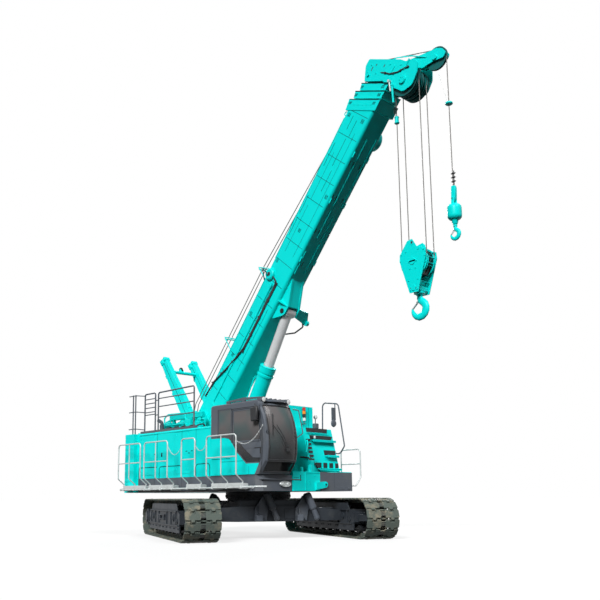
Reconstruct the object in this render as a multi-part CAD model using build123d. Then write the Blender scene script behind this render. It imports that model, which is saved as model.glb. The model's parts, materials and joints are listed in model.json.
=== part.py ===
from build123d import *
import os
from math import atan2, cos, degrees, hypot, pi, radians, sin

# A telescopic boom crawler crane, in millimetres. Its upper works face +X, with the boom
# at its working angle, +Y is the operator's left and the ground is at Z = 0.
# Everything is laid out about the slewing axis, and moved by ORIGIN_X when it is written.

# Running clearances
SEAT = 0.3
FIT = 0.08
CLEAR = 6.0

# Undercarriage, along its own centre line
SLEW_ANGLE = 25.0
TRACK_LENGTH = 5760.0
TRACK_HEIGHT = 954.0
TRACK_GAUGE = 4230.0
SHOE_WIDTH = 810.0
SHOE_THICK = 32.0
SHOE_GAP = 8.0
SHOES = 60
LINK_DEPTH = 45.0
LINK_WIDTH = 290.0
ROLLERS = 9
ROLLER_RADIUS = 95.0
CARRIER_RADIUS = 70.0
FRAME_TOP = 680.0
FRAME_HALF = 345.0
AXLE_SPACING = 2000.0
AXLE_HALF = 230.0
AXLE_BOTTOM = 400.0
AXLE_TOP = 760.0
RING_RADIUS = 830.0
RING_BORE = 620.0
RING_HEIGHT = 154.0
JACK_LENGTH = 670.0
JACK_TILT = 23.0

# Upper works
DECK_BOTTOM = 1120.0
DECK_TOP = 1490.0
HOUSE_TOP = 2730.0
HOUSE_SIDE = 1600.0
HOUSE_INNER = 560.0
HOUSE_FRONT = 43.0
HOUSE_REAR = -3120.0
HOUSE_WALL = 40.0
COUNTERWEIGHT_DEPTH = 950.0
TAIL_RADIUS = COUNTERWEIGHT_DEPTH - HOUSE_REAR
TAIL_SIDE = 1690.0
WEB_INNER = 335.0
WEB_THICK = 60.0
FRONT_FACE = 1820.0
FRONT_TOP = 1580.0

# Boom and its ram
BOOM_ANGLE = 50.0
FOOT_X = -2055.0
FOOT_Z = 2764.0
BOOM_WIDTH = 634.0
BOOM_DEPTH = 836.0
BOOM_WALL = 14.0
SECTION_STEP = 70.0
BASE_END_TOP = 9563.0
BASE_END_BOTTOM = 9823.0
COLLAR_STEP = 209.0
COLLAR_GAP = 28.0
BASE_COLLAR = 280.0
COLLAR_SIDE = 15.0
COLLAR_BELOW = 50.0
COLLAR_BACK_LOW = 30.0
COLLAR_BACK_HIGH = 78.0
FOOT_PIN_RADIUS = 90.0
RAM_PIN_ALONG = 4300.0
RAM_PIN_BELOW = 620.0
RAM_PIN_RADIUS = 60.0
RAM_FOOT_X = -1050.0
RAM_FOOT_Z = 1750.0
RAM_BARREL = 200.0
RAM_ROD = 130.0
RAM_BARREL_LENGTH = 2970.0
EAR_INNER = 155.0
EAR_THICK = 60.0

# Sheaves and hooks
SHEAVE_AHEAD = 261.0
SHEAVE_BELOW = 790.0
SHEAVE_RADIUS = 310.0
SHEAVE_OFFSET = 137.0
SHEAVE_SPREAD = 205.0
TIP_AHEAD = 700.0
TIP_LOWER = 360.0
TIP_RADIUS = 230.0
ROPE_RADIUS = 11.0
SHEAVE_WIDTH = 60.0
FLANGE = 35.0
BLOCK_DROP = 4220.0
AUX_DROP = 3060.0
AUX_WEIGHT_RADIUS = 165.0
AUX_WEIGHT_LENGTH = 860.0

# Cab
CAB_REAR = 50.0
CAB_RIGHT = -1600.0
CAB_LEFT = -600.0
CAB_FLOOR = 1500.0
CAB_ROOF = 3170.0
CAB_WALL = 50.0
CAB_AXIS_X = 1050.0

# Walkway
RAIL_TUBE = 17.0
RAIL_PLANE = -2050.0
RAIL_FOOT = -1850.0
RAIL_TOP = 2410.0
RAIL_KNEE = 1490.0
PLANK_TOP = 1290.0


def box(x, y, z):
    """A block between two x, two y and two z values."""
    centre = Pos((x[0] + x[1]) / 2, (y[0] + y[1]) / 2, (z[0] + z[1]) / 2)
    return centre * Box(x[1] - x[0], y[1] - y[0], z[1] - z[0])


def side_plate(points, y):
    """A plate with an outline in X and Z, between two y values."""
    outline = Polyline([(px, y[0], pz) for px, pz in points], close=True)
    return extrude(make_face(outline), amount=y[1] - y[0], dir=(0, 1, 0))


def curved_plate(points, y):
    """A plate with rounded corners, from (x, z, corner radius) rows, between two y values."""
    corners = [(px, y[0], pz) for px, pz, bend in points]
    outline = FilletPolyline(*corners, radius=[bend for px, pz, bend in points], close=True)
    return extrude(make_face(outline), amount=y[1] - y[0], dir=(0, 1, 0))


def plan_plate(points, z):
    """A plate with an outline in X and Y, between two z values."""
    outline = Polyline([(px, py, z[0]) for px, py in points], close=True)
    return extrude(make_face(outline), amount=z[1] - z[0], dir=(0, 0, 1))


def front_plate(points, x):
    """A plate with an outline in Y and Z, between two x values."""
    outline = Polyline([(x[0], py, pz) for py, pz in points], close=True)
    return extrude(make_face(outline), amount=x[1] - x[0], dir=(1, 0, 0))


def across(x, z, radius, y):
    """A round bar along Y."""
    return Pos(x, (y[0] + y[1]) / 2, z) * Rot(90, 0, 0) * Cylinder(radius, y[1] - y[0])


def rod(start, end, radius):
    """A round bar between two points."""
    along = Vector(*end) - Vector(*start)
    return extrude(Plane(start, z_dir=along) * Circle(radius), amount=along.length)


def pipe(points, radius, bend):
    """A bent tube of one outer radius through some points."""
    path = FilletPolyline(*points, radius=bend)
    return sweep(Plane(path @ 0, z_dir=path % 0) * Circle(radius), path=path)


def turned_across(x, z, y, steps):
    """A body turned about a Y axis, from (offset along Y, radius) steps."""
    profile = [(0, steps[0][0])] + [(r, v) for v, r in steps] + [(0, steps[-1][0])]
    outline = Polyline([(r, v, 0) for r, v in profile], close=True)
    return Pos(x, y, z) * revolve(make_face(outline), Axis.Y, 360)


parts = {}

# Tracks: a chain of links as one closed band, with a flat shoe bolted to each link.
ROLL_HEIGHT = TRACK_HEIGHT / 2
PITCH_RADIUS = ROLL_HEIGHT - SHOE_THICK - LINK_DEPTH
TRACK_STRAIGHT = TRACK_LENGTH - TRACK_HEIGHT
TRACK_PITCH = (2 * TRACK_STRAIGHT + 2 * pi * PITCH_RADIUS) / SHOES
BAND_INNER = PITCH_RADIUS - LINK_DEPTH
WHEEL_RADIUS = BAND_INNER * cos(TRACK_PITCH / PITCH_RADIUS / 2) - SEAT


def chain_point(distance, outward):
    """Point on the track's loop after a distance, moved outwards from the pin line."""
    half = TRACK_STRAIGHT / 2
    arc = pi * PITCH_RADIUS
    distance = (distance + half) % (2 * TRACK_STRAIGHT + 2 * arc)
    reach = PITCH_RADIUS + outward
    if distance <= TRACK_STRAIGHT:
        return distance - half, ROLL_HEIGHT - reach
    distance -= TRACK_STRAIGHT
    if distance <= arc:
        turn = distance / PITCH_RADIUS
        return half + reach * sin(turn), ROLL_HEIGHT - reach * cos(turn)
    distance -= arc
    if distance <= TRACK_STRAIGHT:
        return half - distance, ROLL_HEIGHT + reach
    turn = (distance - TRACK_STRAIGHT) / PITCH_RADIUS
    return -half - reach * sin(turn), ROLL_HEIGHT + reach * cos(turn)


def track():
    """One track about its own middle, as the band of links with its shoes."""
    sink = 5.0
    pins = range(SHOES)
    outer = [chain_point(i * TRACK_PITCH, LINK_DEPTH) for i in pins]
    inner = [chain_point(i * TRACK_PITCH, -LINK_DEPTH) for i in pins]
    half = LINK_WIDTH / 2
    band = side_plate(outer, (-half, half)) - side_plate(inner, (-half - 1, half + 1))
    shoes = []
    for i in pins:
        x0, z0 = outer[i]
        x1, z1 = outer[(i + 1) % SHOES]
        tilt = degrees(atan2(z1 - z0, x1 - x0))
        thick = SHOE_THICK + sink
        plate = Box(hypot(x1 - x0, z1 - z0) - SHOE_GAP, SHOE_WIDTH, thick)
        plate = Pos(0, 0, sink - thick / 2) * plate
        shoes.append(Pos((x0 + x1) / 2, 0, (z0 + z1) / 2) * Rot(0, -tilt, 0) * plate)
    return band + shoes


def side_frame():
    """One welded track frame, with its roller skirts and carrier posts."""
    end = TRACK_STRAIGHT / 2 - PITCH_RADIUS - 20
    body = side_plate(
        [(-end, 380), (-end, 600), (-end + 220, FRAME_TOP), (end - 220, FRAME_TOP),
         (end, 600), (end, 380), (end - 60, 330), (60 - end, 330)],
        (-FRAME_HALF, FRAME_HALF))
    skirt = [(-end + 40, 190), (-end + 20, 350), (end - 20, 350), (end - 40, 190)]
    for side in (-1, 1):
        faces = sorted((side * (FRAME_HALF - 25), side * FRAME_HALF))
        body += side_plate(skirt, faces)
        fork = sorted((side * 190, side * 240))
        for direction in (-1, 1):
            arm = [(direction * (end - 10), 400), (direction * (end - 10), 580),
                   (direction * (TRACK_STRAIGHT / 2 + 90), 540),
                   (direction * (TRACK_STRAIGHT / 2 + 90), 420)]
            body += side_plate(arm, fork)
    for x in carrier_places():
        body += box((x - 50, x + 50), (-150, -110), (FRAME_TOP - 5, carrier_height() + 30))
        body += box((x - 50, x + 50), (110, 150), (FRAME_TOP - 5, carrier_height() + 30))
    return body


def carrier_places():
    return (-AXLE_SPACING / 3, AXLE_SPACING / 3)


def carrier_height():
    return ROLL_HEIGHT + BAND_INNER - CARRIER_RADIUS - SEAT


def lower_rollers():
    """The bottom rollers that carry the frame on the chain."""
    height = ROLL_HEIGHT - BAND_INNER + ROLLER_RADIUS + SEAT
    reach = FRAME_HALF - 25 - SEAT
    span = TRACK_STRAIGHT - 2 * PITCH_RADIUS - 260
    rollers = []
    for i in range(ROLLERS):
        x = -span / 2 + span * i / (ROLLERS - 1)
        steps = [(-reach, 35), (-200, 35), (-200, ROLLER_RADIUS), (-90, ROLLER_RADIUS),
                 (-90, 70), (90, 70), (90, ROLLER_RADIUS), (200, ROLLER_RADIUS), (200, 35), (reach, 35)]
        rollers.append(turned_across(x, height, 0, steps))
    return rollers


def carriers():
    """The small rollers that carry the top run of the chain."""
    reach = 110 - SEAT
    steps = [(-reach, 25), (-95, 25), (-95, CARRIER_RADIUS), (95, CARRIER_RADIUS), (95, 25), (reach, 25)]
    return [turned_across(x, carrier_height(), 0, steps) for x in carrier_places()]


def sprocket():
    """Toothed driving wheel with its hub."""
    teeth = 12
    points = []
    for i in range(teeth):
        for step, radius in ((0.0, WHEEL_RADIUS - 45), (0.22, WHEEL_RADIUS), (0.42, WHEEL_RADIUS),
                             (0.64, WHEEL_RADIUS - 45)):
            turn = 2 * pi * (i + step) / teeth
            points.append((radius * cos(turn), radius * sin(turn)))
    wheel = side_plate(points, (-40, 40))
    return wheel + across(0, 0, 150, (-190 + SEAT, 190 - SEAT))


def idler():
    """Plain wheel at the other end of the chain."""
    rim = WHEEL_RADIUS
    hub = 190 - SEAT
    steps = [(-hub, 90), (-100, 90), (-100, rim), (-60, rim), (-60, rim - 70), (60, rim - 70),
             (60, rim), (100, rim), (100, 90), (hub, 90)]
    return turned_across(0, 0, 0, steps)


def final_drive():
    """Round gearbox on the outer side of the sprocket, seated on the frame's fork."""
    steps = [(240 + SEAT, 215), (330, 215), (345, 195), (345, 150), (375, 150), (375, 0.5)]
    return turned_across(0, 0, 0, steps)


upper_to_lower = Rot(0, 0, -SLEW_ANGLE)
for side, hand in (("left", 1), ("right", -1)):
    lane = upper_to_lower * Pos(0, hand * TRACK_GAUGE / 2, 0)
    parts[f"track_{side}"] = lane * track()
    drive_end = Pos(-TRACK_STRAIGHT / 2, 0, ROLL_HEIGHT)
    drive = final_drive() if hand > 0 else mirror(final_drive(), Plane.XZ)
    parts[f"track_frame_{side}"] = Compound([lane * side_frame(), lane * drive_end * drive])
    wheels = lower_rollers() + carriers()
    wheels += [drive_end * sprocket(), Pos(TRACK_STRAIGHT / 2, 0, ROLL_HEIGHT) * idler()]
    parts[f"track_wheels_{side}"] = Compound([lane * wheel for wheel in wheels])

# Carbody: a box with a ring seat, and two cross axles that end at the track frames.
AXLE_END = TRACK_GAUGE / 2 - FRAME_HALF - SEAT
RING_SEAT = DECK_BOTTOM - RING_HEIGHT
carbody = box((-1150, 1150), (-820, 820), (AXLE_BOTTOM + 30, 900))
carbody += Pos(0, 0, (700 + RING_SEAT) / 2) * Cylinder(RING_RADIUS - 40, RING_SEAT - 700)
for x in (-AXLE_SPACING / 2, AXLE_SPACING / 2):
    beam = front_plate(
        [(-AXLE_END, AXLE_BOTTOM + 20), (-900, AXLE_BOTTOM), (900, AXLE_BOTTOM), (AXLE_END, AXLE_BOTTOM + 20),
         (AXLE_END, AXLE_TOP - 100), (900, AXLE_TOP), (-900, AXLE_TOP), (-AXLE_END, AXLE_TOP - 100)],
        (x - AXLE_HALF, x + AXLE_HALF))
    carbody += beam
parts["carbody"] = upper_to_lower * carbody


def jack(x, y, facing):
    """A folded levelling jack on its bracket, leaning in the plane of the axle's face."""
    bracket = front_plate([(-280, 410), (-280, 700), (-90, 1010), (60, 1010), (60, 700), (10, 410)], (0, 60))
    bracket += front_plate([(-280, 410), (-280, 560), (-120, 560), (-120, 410)], (55, 200))
    top = Vector(150, 0, 1040)
    lean = radians(JACK_TILT)
    foot = top + Vector(0, JACK_LENGTH * sin(lean), -JACK_LENGTH * cos(lean))
    bend = top + (foot - top) * 0.55
    barrel = rod(tuple(top), tuple(bend), 88) + rod(tuple(bend), tuple(foot), 66)
    pivot = rod((30, 0, 1000), (200, 0, 1000), 45)
    return Pos(x, y, 0) * Rot(0, 0, 0 if facing > 0 else 180) * (bracket + barrel + pivot)


axle_face = AXLE_SPACING / 2 + AXLE_HALF + SEAT
jacks = [jack(axle_face, -200, 1), jack(axle_face, 830, 1)]
jacks += [jack(-axle_face, 200, -1), jack(-axle_face, -830, -1)]
parts["levelling_jacks"] = Compound([upper_to_lower * j for j in jacks])

ring = Cylinder(RING_RADIUS, RING_HEIGHT - SEAT) - Cylinder(RING_BORE, RING_HEIGHT)
parts["slewing_ring"] = Pos(0, 0, RING_SEAT + (RING_HEIGHT - SEAT) / 2) * ring

# Revolving frame: a floor, a front cross member, and two tall cheeks for boom and mast.
FLOOR_TOP = DECK_BOTTOM + 120
FRAME_RIGHT = -545.0
FRAME_LEFT = WEB_INNER + WEB_THICK
BOSS = 30.0
cheek = [(HOUSE_REAR + SEAT, DECK_BOTTOM + 40), (FRONT_FACE - 40, DECK_BOTTOM + 40),
         (FRONT_FACE - 40, FRONT_TOP), (200, 1700), (-750, 2100), (-1450, 2900), (-1650, 3230),
         (-1800, 3290), (-2500, 3290),
         (-2850, 3150), (HOUSE_REAR + SEAT, 2650)]
frame = box((HOUSE_REAR + SEAT, FRONT_FACE), (FRAME_RIGHT, FRAME_LEFT), (DECK_BOTTOM, FLOOR_TOP))
frame += box((FRONT_FACE - 280, FRONT_FACE), (FRAME_RIGHT, FRAME_LEFT), (DECK_BOTTOM, FRONT_TOP))
for side in (-1, 1):
    faces = sorted((side * WEB_INNER, side * (WEB_INNER + WEB_THICK)))
    frame += side_plate(cheek, faces)
    frame += across(RAM_FOOT_X, RAM_FOOT_Z, 160, sorted((side * (RAM_BARREL + 25), side * (WEB_INNER + 1))))
    boss_faces = sorted((side * (WEB_INNER + WEB_THICK - 1), side * (WEB_INNER + WEB_THICK + BOSS)))
    frame += across(FOOT_X, FOOT_Z, 200, boss_faces)
LUG_Y = 553.0
LUG_Z = 1278.0
lug = front_plate([(220, 1150), (220, 1330), (LUG_Y, LUG_Z + 75), (LUG_Y, LUG_Z - 75)],
                  (FRONT_FACE + SEAT, FRONT_FACE + 45))
lug += rod((FRONT_FACE + SEAT, LUG_Y, LUG_Z), (FRONT_FACE + 45, LUG_Y, LUG_Z), 75)
lug -= rod((FRONT_FACE - 5, LUG_Y, LUG_Z), (FRONT_FACE + 50, LUG_Y, LUG_Z), 30)
frame += lug + box((FRONT_FACE - 1, FRONT_FACE + 5), (225, FRAME_LEFT - 10), (1160, 1320))
MAST_X = -2200.0
MAST_Z = 3120.0
MAST_PIN_RADIUS = 50.0
frame -= across(FOOT_X, FOOT_Z, FOOT_PIN_RADIUS + SEAT, (-500, 500))
frame -= across(MAST_X, MAST_Z, MAST_PIN_RADIUS + FIT, (-500, 500))
parts["revolving_frame"] = frame

# Side decks under the house and the cab, and the tank at the left front corner.
right_deck = plan_plate(
    [(HOUSE_REAR + SEAT, CAB_RIGHT), (1660, CAB_RIGHT), (1790, CAB_RIGHT + 130), (1790, FRAME_RIGHT - SEAT),
     (HOUSE_REAR + SEAT, FRAME_RIGHT - SEAT)], (DECK_BOTTOM, DECK_TOP))
TANK_REAR = 1400.0
for x in (CAB_REAR + 130, 1450):
    for y in (CAB_RIGHT + 130, CAB_LEFT - 130):
        right_deck += rod((x, y, DECK_TOP - 10), (x, y, CAB_FLOOR - SEAT), 60)
left_deck = box((HOUSE_REAR + SEAT, TANK_REAR - SEAT), (FRAME_LEFT + SEAT, HOUSE_SIDE),
                (DECK_BOTTOM, DECK_TOP))
parts["side_decks"] = Compound([right_deck, left_deck])
tank = box((TANK_REAR, FRONT_FACE), (FRAME_LEFT + SEAT, HOUSE_SIDE), (DECK_BOTTOM, FRONT_TOP))
tank = fillet(tank.edges().filter_by(Axis.Z).sort_by(Axis.X)[-2:], 25)
tank -= box((FRONT_FACE - 12, FRONT_FACE + 5), (915, 921), (DECK_BOTTOM - 5, FRONT_TOP + 5))
parts["front_tank"] = tank

# Counterweight: one casting whose rear follows the tail radius.
tail_x = (TAIL_RADIUS ** 2 - TAIL_SIDE ** 2) ** 0.5
tail_line = Polyline((-tail_x, TAIL_SIDE), (HOUSE_REAR, TAIL_SIDE), (HOUSE_REAR, -TAIL_SIDE),
                     (-tail_x, -TAIL_SIDE))
tail_arc = ThreePointArc((-tail_x, -TAIL_SIDE), (-TAIL_RADIUS, 0), (-tail_x, TAIL_SIDE))
tail = extrude(make_face(Pos(0, 0, DECK_BOTTOM) * Wire([*tail_line.edges(), tail_arc])),
               amount=HOUSE_TOP - DECK_BOTTOM, dir=(0, 0, 1))
tail = fillet(tail.edges().filter_by(Axis.Z).sort_by(Axis.X)[:2], 90)
for side in (-1, 1):
    cut = sorted((side * (HOUSE_SIDE - 20), side * (TAIL_SIDE + 1)))
    tail -= box((HOUSE_REAR - 105, HOUSE_REAR + 1), cut, (DECK_BOTTOM - 1, HOUSE_TOP + 1))
parts["counterweight"] = tail

# Right machinery house: folded sheet walls, with two doorways in its outer side.
DOORS = (("rear", -3070.0, -2230.0), ("front", -1455.0, -808.0))
DOOR_BOTTOM = DECK_TOP + 90
DOOR_TOP = HOUSE_TOP - 70
DOOR_THICK = 40.0
house_base = DECK_TOP + SEAT
house = box((HOUSE_REAR + SEAT, HOUSE_FRONT), (-HOUSE_SIDE, -HOUSE_INNER), (house_base, HOUSE_TOP))
house = fillet(house.edges().filter_by(Axis.X).sort_by(Axis.Z)[-2:], 45)
house -= box((HOUSE_REAR + HOUSE_WALL, HOUSE_FRONT - HOUSE_WALL),
             (HOUSE_WALL - HOUSE_SIDE, -HOUSE_INNER - HOUSE_WALL),
             (house_base + HOUSE_WALL, HOUSE_TOP - HOUSE_WALL))
for name, x0, x1 in DOORS:
    house -= box((x0, x1), (-HOUSE_SIDE - 5, HOUSE_WALL - HOUSE_SIDE + 5), (DOOR_BOTTOM, DOOR_TOP))
    gaps = (SEAT, CLEAR) if name == "rear" else (CLEAR, SEAT)
    leaf = (x0 + gaps[0], x1 - gaps[1])
    height = (DOOR_BOTTOM + CLEAR, DOOR_TOP - CLEAR)
    parts[f"house_door_{name}"] = box(leaf, (-HOUSE_SIDE, DOOR_THICK - HOUSE_SIDE), height)
parts["house_right"] = house
parts["engine"] = box((-2950, -1500), (-1420, -760), (house_base + HOUSE_WALL + SEAT, 2450))

# Left machinery house, closed, with steps let into its sloping front.
left_front = [(HOUSE_REAR + SEAT, house_base), (TANK_REAR - SEAT, house_base), (TANK_REAR - SEAT, 1640),
              (1120, HOUSE_TOP), (HOUSE_REAR + SEAT, HOUSE_TOP)]
left_house = side_plate(left_front, (HOUSE_INNER - 60, HOUSE_SIDE))
STEPS = ((1670.0, 1840.0, 740.0), (2010.0, 2170.0, 1140.0), (2400.0, 2545.0, 720.0))
for z0, z1, y0 in STEPS:
    left_house -= side_plate([(960, z0), (1500, z0), (1500, z1), (1060, z1)], (y0, HOUSE_SIDE - 50))
parts["house_left"] = left_house
parts["air_box"] = box((-1100, 540), (620, 1520), (HOUSE_TOP + SEAT, 3370))

# Winches behind the boom's foot.
winches = []
for x, z in ((-2760.0, 2260.0), (-2190.0, 1800.0)):
    half = WEB_INNER - SEAT
    steps = [(-half, 120), (-300, 120), (-300, 310), (-275, 310), (-275, 235), (275, 235),
             (275, 310), (300, 310), (300, 120), (half, 120)]
    winches.append(turned_across(x, z, 0, steps))
parts["winches"] = Compound(winches)

# Mast: two box arms on one pin, tied by a cross tube, leaning back over the counterweight.
MAST_LEAN = 34.6
MAST_LENGTH = 2280.0
arm = [(-150, -160), (150, -160), (170, 500), (130, 1500), (110, MAST_LENGTH), (-110, MAST_LENGTH),
       (-150, 1500), (-190, 500)]
mast = across(0, 1820, 48, (-500, 500))
for side in (-1, 1):
    faces = sorted((side * (FRAME_LEFT + 40), side * (FRAME_LEFT + 200)))
    mast += side_plate(arm, faces)
mast -= across(0, 0, MAST_PIN_RADIUS + FIT, (-700, 700))
parts["mast"] = Pos(MAST_X, 0, MAST_Z) * Rot(0, -MAST_LEAN, 0) * mast
stubs = [across(MAST_X, MAST_Z, MAST_PIN_RADIUS, sorted((side * WEB_INNER, side * 620))) for side in (-1, 1)]
parts["frame_pins"] = Compound([across(FOOT_X, FOOT_Z, FOOT_PIN_RADIUS, (-470, 470))] + stubs)

# Boom: in its own frame, X runs along it from the foot pin and Z is its back.
to_boom = Pos(FOOT_X, 0, FOOT_Z) * Rot(0, -BOOM_ANGLE, 0)
mouth_step = (0.0, COLLAR_STEP, 2 * COLLAR_STEP, 2 * COLLAR_STEP + COLLAR_GAP)


def mouth(section, height):
    """How far along the boom a section's slanted mouth is, at some height from its axis."""
    slope = (BASE_END_BOTTOM - BASE_END_TOP) / BOOM_DEPTH
    return BASE_END_TOP + mouth_step[section] + slope * (BOOM_DEPTH / 2 - height)


def boom_tube(section, start):
    """A box section with round corners, from its tail to its slanted mouth."""
    width, depth = section_size(section)
    corner = 70.0
    outer = RectangleRounded(width, depth, corner)
    inner = RectangleRounded(width - 2 * BOOM_WALL, depth - 2 * BOOM_WALL, corner - BOOM_WALL)
    tube = extrude(Plane.YZ * Pos(0, 0, start) * (outer - inner), amount=mouth(section, -depth) - start)
    keep = [(start - 10, -depth), (mouth(section, -depth), -depth),
            (mouth(section, depth), depth), (start - 10, depth)]
    return tube & side_plate(keep, (-width, width))


def collar(section, length):
    """The slanted ring at a section's mouth, whose back rises towards the mouth."""
    width, depth = section_size(section)
    low = -depth / 2 - COLLAR_BELOW
    back = depth / 2 + COLLAR_BACK_LOW
    lip = depth / 2 + COLLAR_BACK_HIGH
    half = width / 2 + COLLAR_SIDE
    outline = [(mouth(section, low), low), (mouth(section, lip), lip), (mouth(section, back) - length, back),
               (mouth(section, low) - length, low)]
    hole = RectangleRounded(width - 4, depth - 4, 50)
    start = mouth(section, lip) - length - 50
    bore = extrude(Plane.YZ * Pos(0, 0, start) * hole, amount=length + 500)
    return side_plate(outline, (-half, half)) - bore


def section_size(i):
    """Outer width and depth of the i-th section, the base being 0."""
    return BOOM_WIDTH - SECTION_STEP * i, BOOM_DEPTH - SECTION_STEP * i


def wear_pads(section):
    """Blocks inside a section's mouth that carry the next section."""
    inner = [size / 2 - BOOM_WALL + 2 for size in section_size(section)]
    following = [size / 2 + SEAT for size in section_size(section + 1)]
    along = (mouth(section, BOOM_DEPTH / 2) - 420, mouth(section, BOOM_DEPTH / 2) - 120)
    pads = []
    for side in (-1, 1):
        pads.append(box(along, (-150, 150), sorted((side * following[1], side * inner[1]))))
        pads.append(box(along, sorted((side * following[0], side * inner[0])), (-150, 150)))
    return pads


base = boom_tube(0, 900) + collar(0, BASE_COLLAR) + wear_pads(0)
root = side_plate([(-190, -120), (0, -230), (950, -BOOM_DEPTH / 2 + 4), (950, BOOM_DEPTH / 2 - 4),
                   (500, BOOM_DEPTH / 2 - 4), (-60, 230), (-190, 120)], (-BOOM_WIDTH / 2, BOOM_WIDTH / 2))
root -= side_plate([(250, -280), (960, -BOOM_DEPTH / 2 + 45), (960, BOOM_DEPTH / 2 - 45),
                    (480, BOOM_DEPTH / 2 - 45), (250, 260)], (60 - BOOM_WIDTH / 2, BOOM_WIDTH / 2 - 60))
base += root
base -= across(0, 0, FOOT_PIN_RADIUS + FIT, (-400, 400))
EAR_DROP = 130.0
EAR_FRONT = RAM_PIN_ALONG + 190
belly = -BOOM_DEPTH / 2 + 5
ear_low = -RAM_PIN_BELOW - EAR_DROP
ear = [(RAM_PIN_ALONG - 350, belly, 10), (RAM_PIN_ALONG + 850, belly, 10), (EAR_FRONT, ear_low, 25),
       (RAM_PIN_ALONG - 40, ear_low, 90), (RAM_PIN_ALONG - 170, -RAM_PIN_BELOW, 60)]
for side in (-1, 1):
    base += curved_plate(ear, sorted((side * EAR_INNER, side * (EAR_INNER + EAR_THICK))))
base += side_plate([(EAR_FRONT - 25, belly), (RAM_PIN_ALONG + 810, belly), (EAR_FRONT, ear_low + 8),
                    (EAR_FRONT - 25, ear_low + 8)], (-EAR_INNER - 1, EAR_INNER + 1))
flange_half = BOOM_WIDTH / 2
flange_low = EAR_INNER + EAR_THICK
base += front_plate([(-flange_half, belly), (-flange_half, belly - 45), (-flange_low, ear_low + 10),
                     (flange_low, ear_low + 10), (flange_half, belly - 45), (flange_half, belly)],
                    (EAR_FRONT - 25, EAR_FRONT))
base -= across(RAM_PIN_ALONG, -RAM_PIN_BELOW, RAM_PIN_RADIUS + SEAT, (-400, 400))

# A hose guide reaches out to the left of the ram's eye, and a round cable housing sits near the mouth.
guide = plan_plate([(RAM_PIN_ALONG - 60, EAR_INNER + 10), (EAR_FRONT, EAR_INNER + 10), (EAR_FRONT - 40, 520),
                    (RAM_PIN_ALONG - 90, 640), (RAM_PIN_ALONG - 200, 600)],
                   (ear_low - 35, ear_low + 25))
base += guide + across(RAM_PIN_ALONG - 130, ear_low - 60, 70, (560, 640))
housing = [(0, 280), (150, 280), (215, 250), (240, 180)]
base += turned_across(BASE_END_TOP - 643, -60, BOOM_WIDTH / 2 - 2, housing)
base += turned_across(RAM_PIN_ALONG + 580, 250, -BOOM_WIDTH / 2 - 75, [(0, 120), (20, 150), (78, 150)])

parts["boom_base"] = to_boom * base
pin_half = EAR_INNER + EAR_THICK + 20
parts["ram_pin"] = to_boom * across(RAM_PIN_ALONG, -RAM_PIN_BELOW, RAM_PIN_RADIUS, (-pin_half, pin_half))

names = ("boom_second", "boom_third", "boom_top")
for i, name in enumerate(names, start=1):
    section = boom_tube(i, 1000 + 150 * i)
    if i < len(names):
        section += collar(i, COLLAR_STEP - COLLAR_GAP) + wear_pads(i)
    parts[name] = to_boom * section

# Boom head: two curved side plates on a collar, a folded back plate, and two tip plates.
HEAD_HALF = 300.0
HEAD_PLATE = 30.0
HEAD_BACK = 329.0
HEAD_BELLY = -430.0


def head_seat(height):
    """Where the head's rear face is along the boom, just in front of the last collar."""
    return mouth(len(names), height) + SEAT


LAST_MOUTH = mouth(len(names), 0)
SHEAVE_ALONG = LAST_MOUTH + SHEAVE_AHEAD
TIP_ALONG = SHEAVE_ALONG + TIP_AHEAD
TIP_BELOW = SHEAVE_BELOW + TIP_LOWER
back_end = LAST_MOUTH + 217
crown = LAST_MOUTH + 386
side_outline = [(head_seat(HEAD_BACK), HEAD_BACK, 8), (back_end, 524, 60), (crown, 516, 50),
                (SHEAVE_ALONG + 376, 360 - SHEAVE_BELOW, 90), (SHEAVE_ALONG + 385, 180 - SHEAVE_BELOW, 60),
                (SHEAVE_ALONG + 505, -SHEAVE_BELOW, 40), (SHEAVE_ALONG + 470, -130 - SHEAVE_BELOW, 90),
                (SHEAVE_ALONG + 280, -275 - SHEAVE_BELOW, 120), (SHEAVE_ALONG - 10, -325 - SHEAVE_BELOW, 160),
                (SHEAVE_ALONG - 220, -170 - SHEAVE_BELOW, 150), (SHEAVE_ALONG - 228, 190 - SHEAVE_BELOW, 60),
                (head_seat(HEAD_BELLY), HEAD_BELLY, 8)]
inner_half = HEAD_HALF - HEAD_PLATE
head = side_plate([(head_seat(HEAD_BACK), HEAD_BACK), (head_seat(HEAD_BACK) + 150, HEAD_BACK + 60),
                   (head_seat(HEAD_BELLY) + 20, HEAD_BELLY), (head_seat(HEAD_BELLY), HEAD_BELLY)],
                  (-inner_half, inner_half))
head += side_plate([(LAST_MOUTH - 9, HEAD_BACK), (back_end, 523), (crown, 515),
                    (SHEAVE_ALONG + 376, 360 - SHEAVE_BELOW),
                    (SHEAVE_ALONG + 384, 190 - SHEAVE_BELOW), (SHEAVE_ALONG + 355, 190 - SHEAVE_BELOW),
                    (SHEAVE_ALONG + 346, 360 - SHEAVE_BELOW), (crown - 25, 485), (back_end + 9, 490),
                    (LAST_MOUTH + 61, 350)], (-inner_half, inner_half))
tip_plate = [(SHEAVE_ALONG + 300, 410 - SHEAVE_BELOW, 20), (SHEAVE_ALONG + 390, 400 - SHEAVE_BELOW, 20),
             (SHEAVE_ALONG + 528, 217 - SHEAVE_BELOW, 80), (TIP_ALONG + 181, 91 - TIP_BELOW, 60),
             (TIP_ALONG + 225, -61 - TIP_BELOW, 80), (TIP_ALONG + 190, -200 - TIP_BELOW, 60),
             (TIP_ALONG + 71, -225 - TIP_BELOW, 60), (TIP_ALONG - 85, -TIP_BELOW, 120),
             (SHEAVE_ALONG + 400, -170 - SHEAVE_BELOW, 60)]
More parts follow.
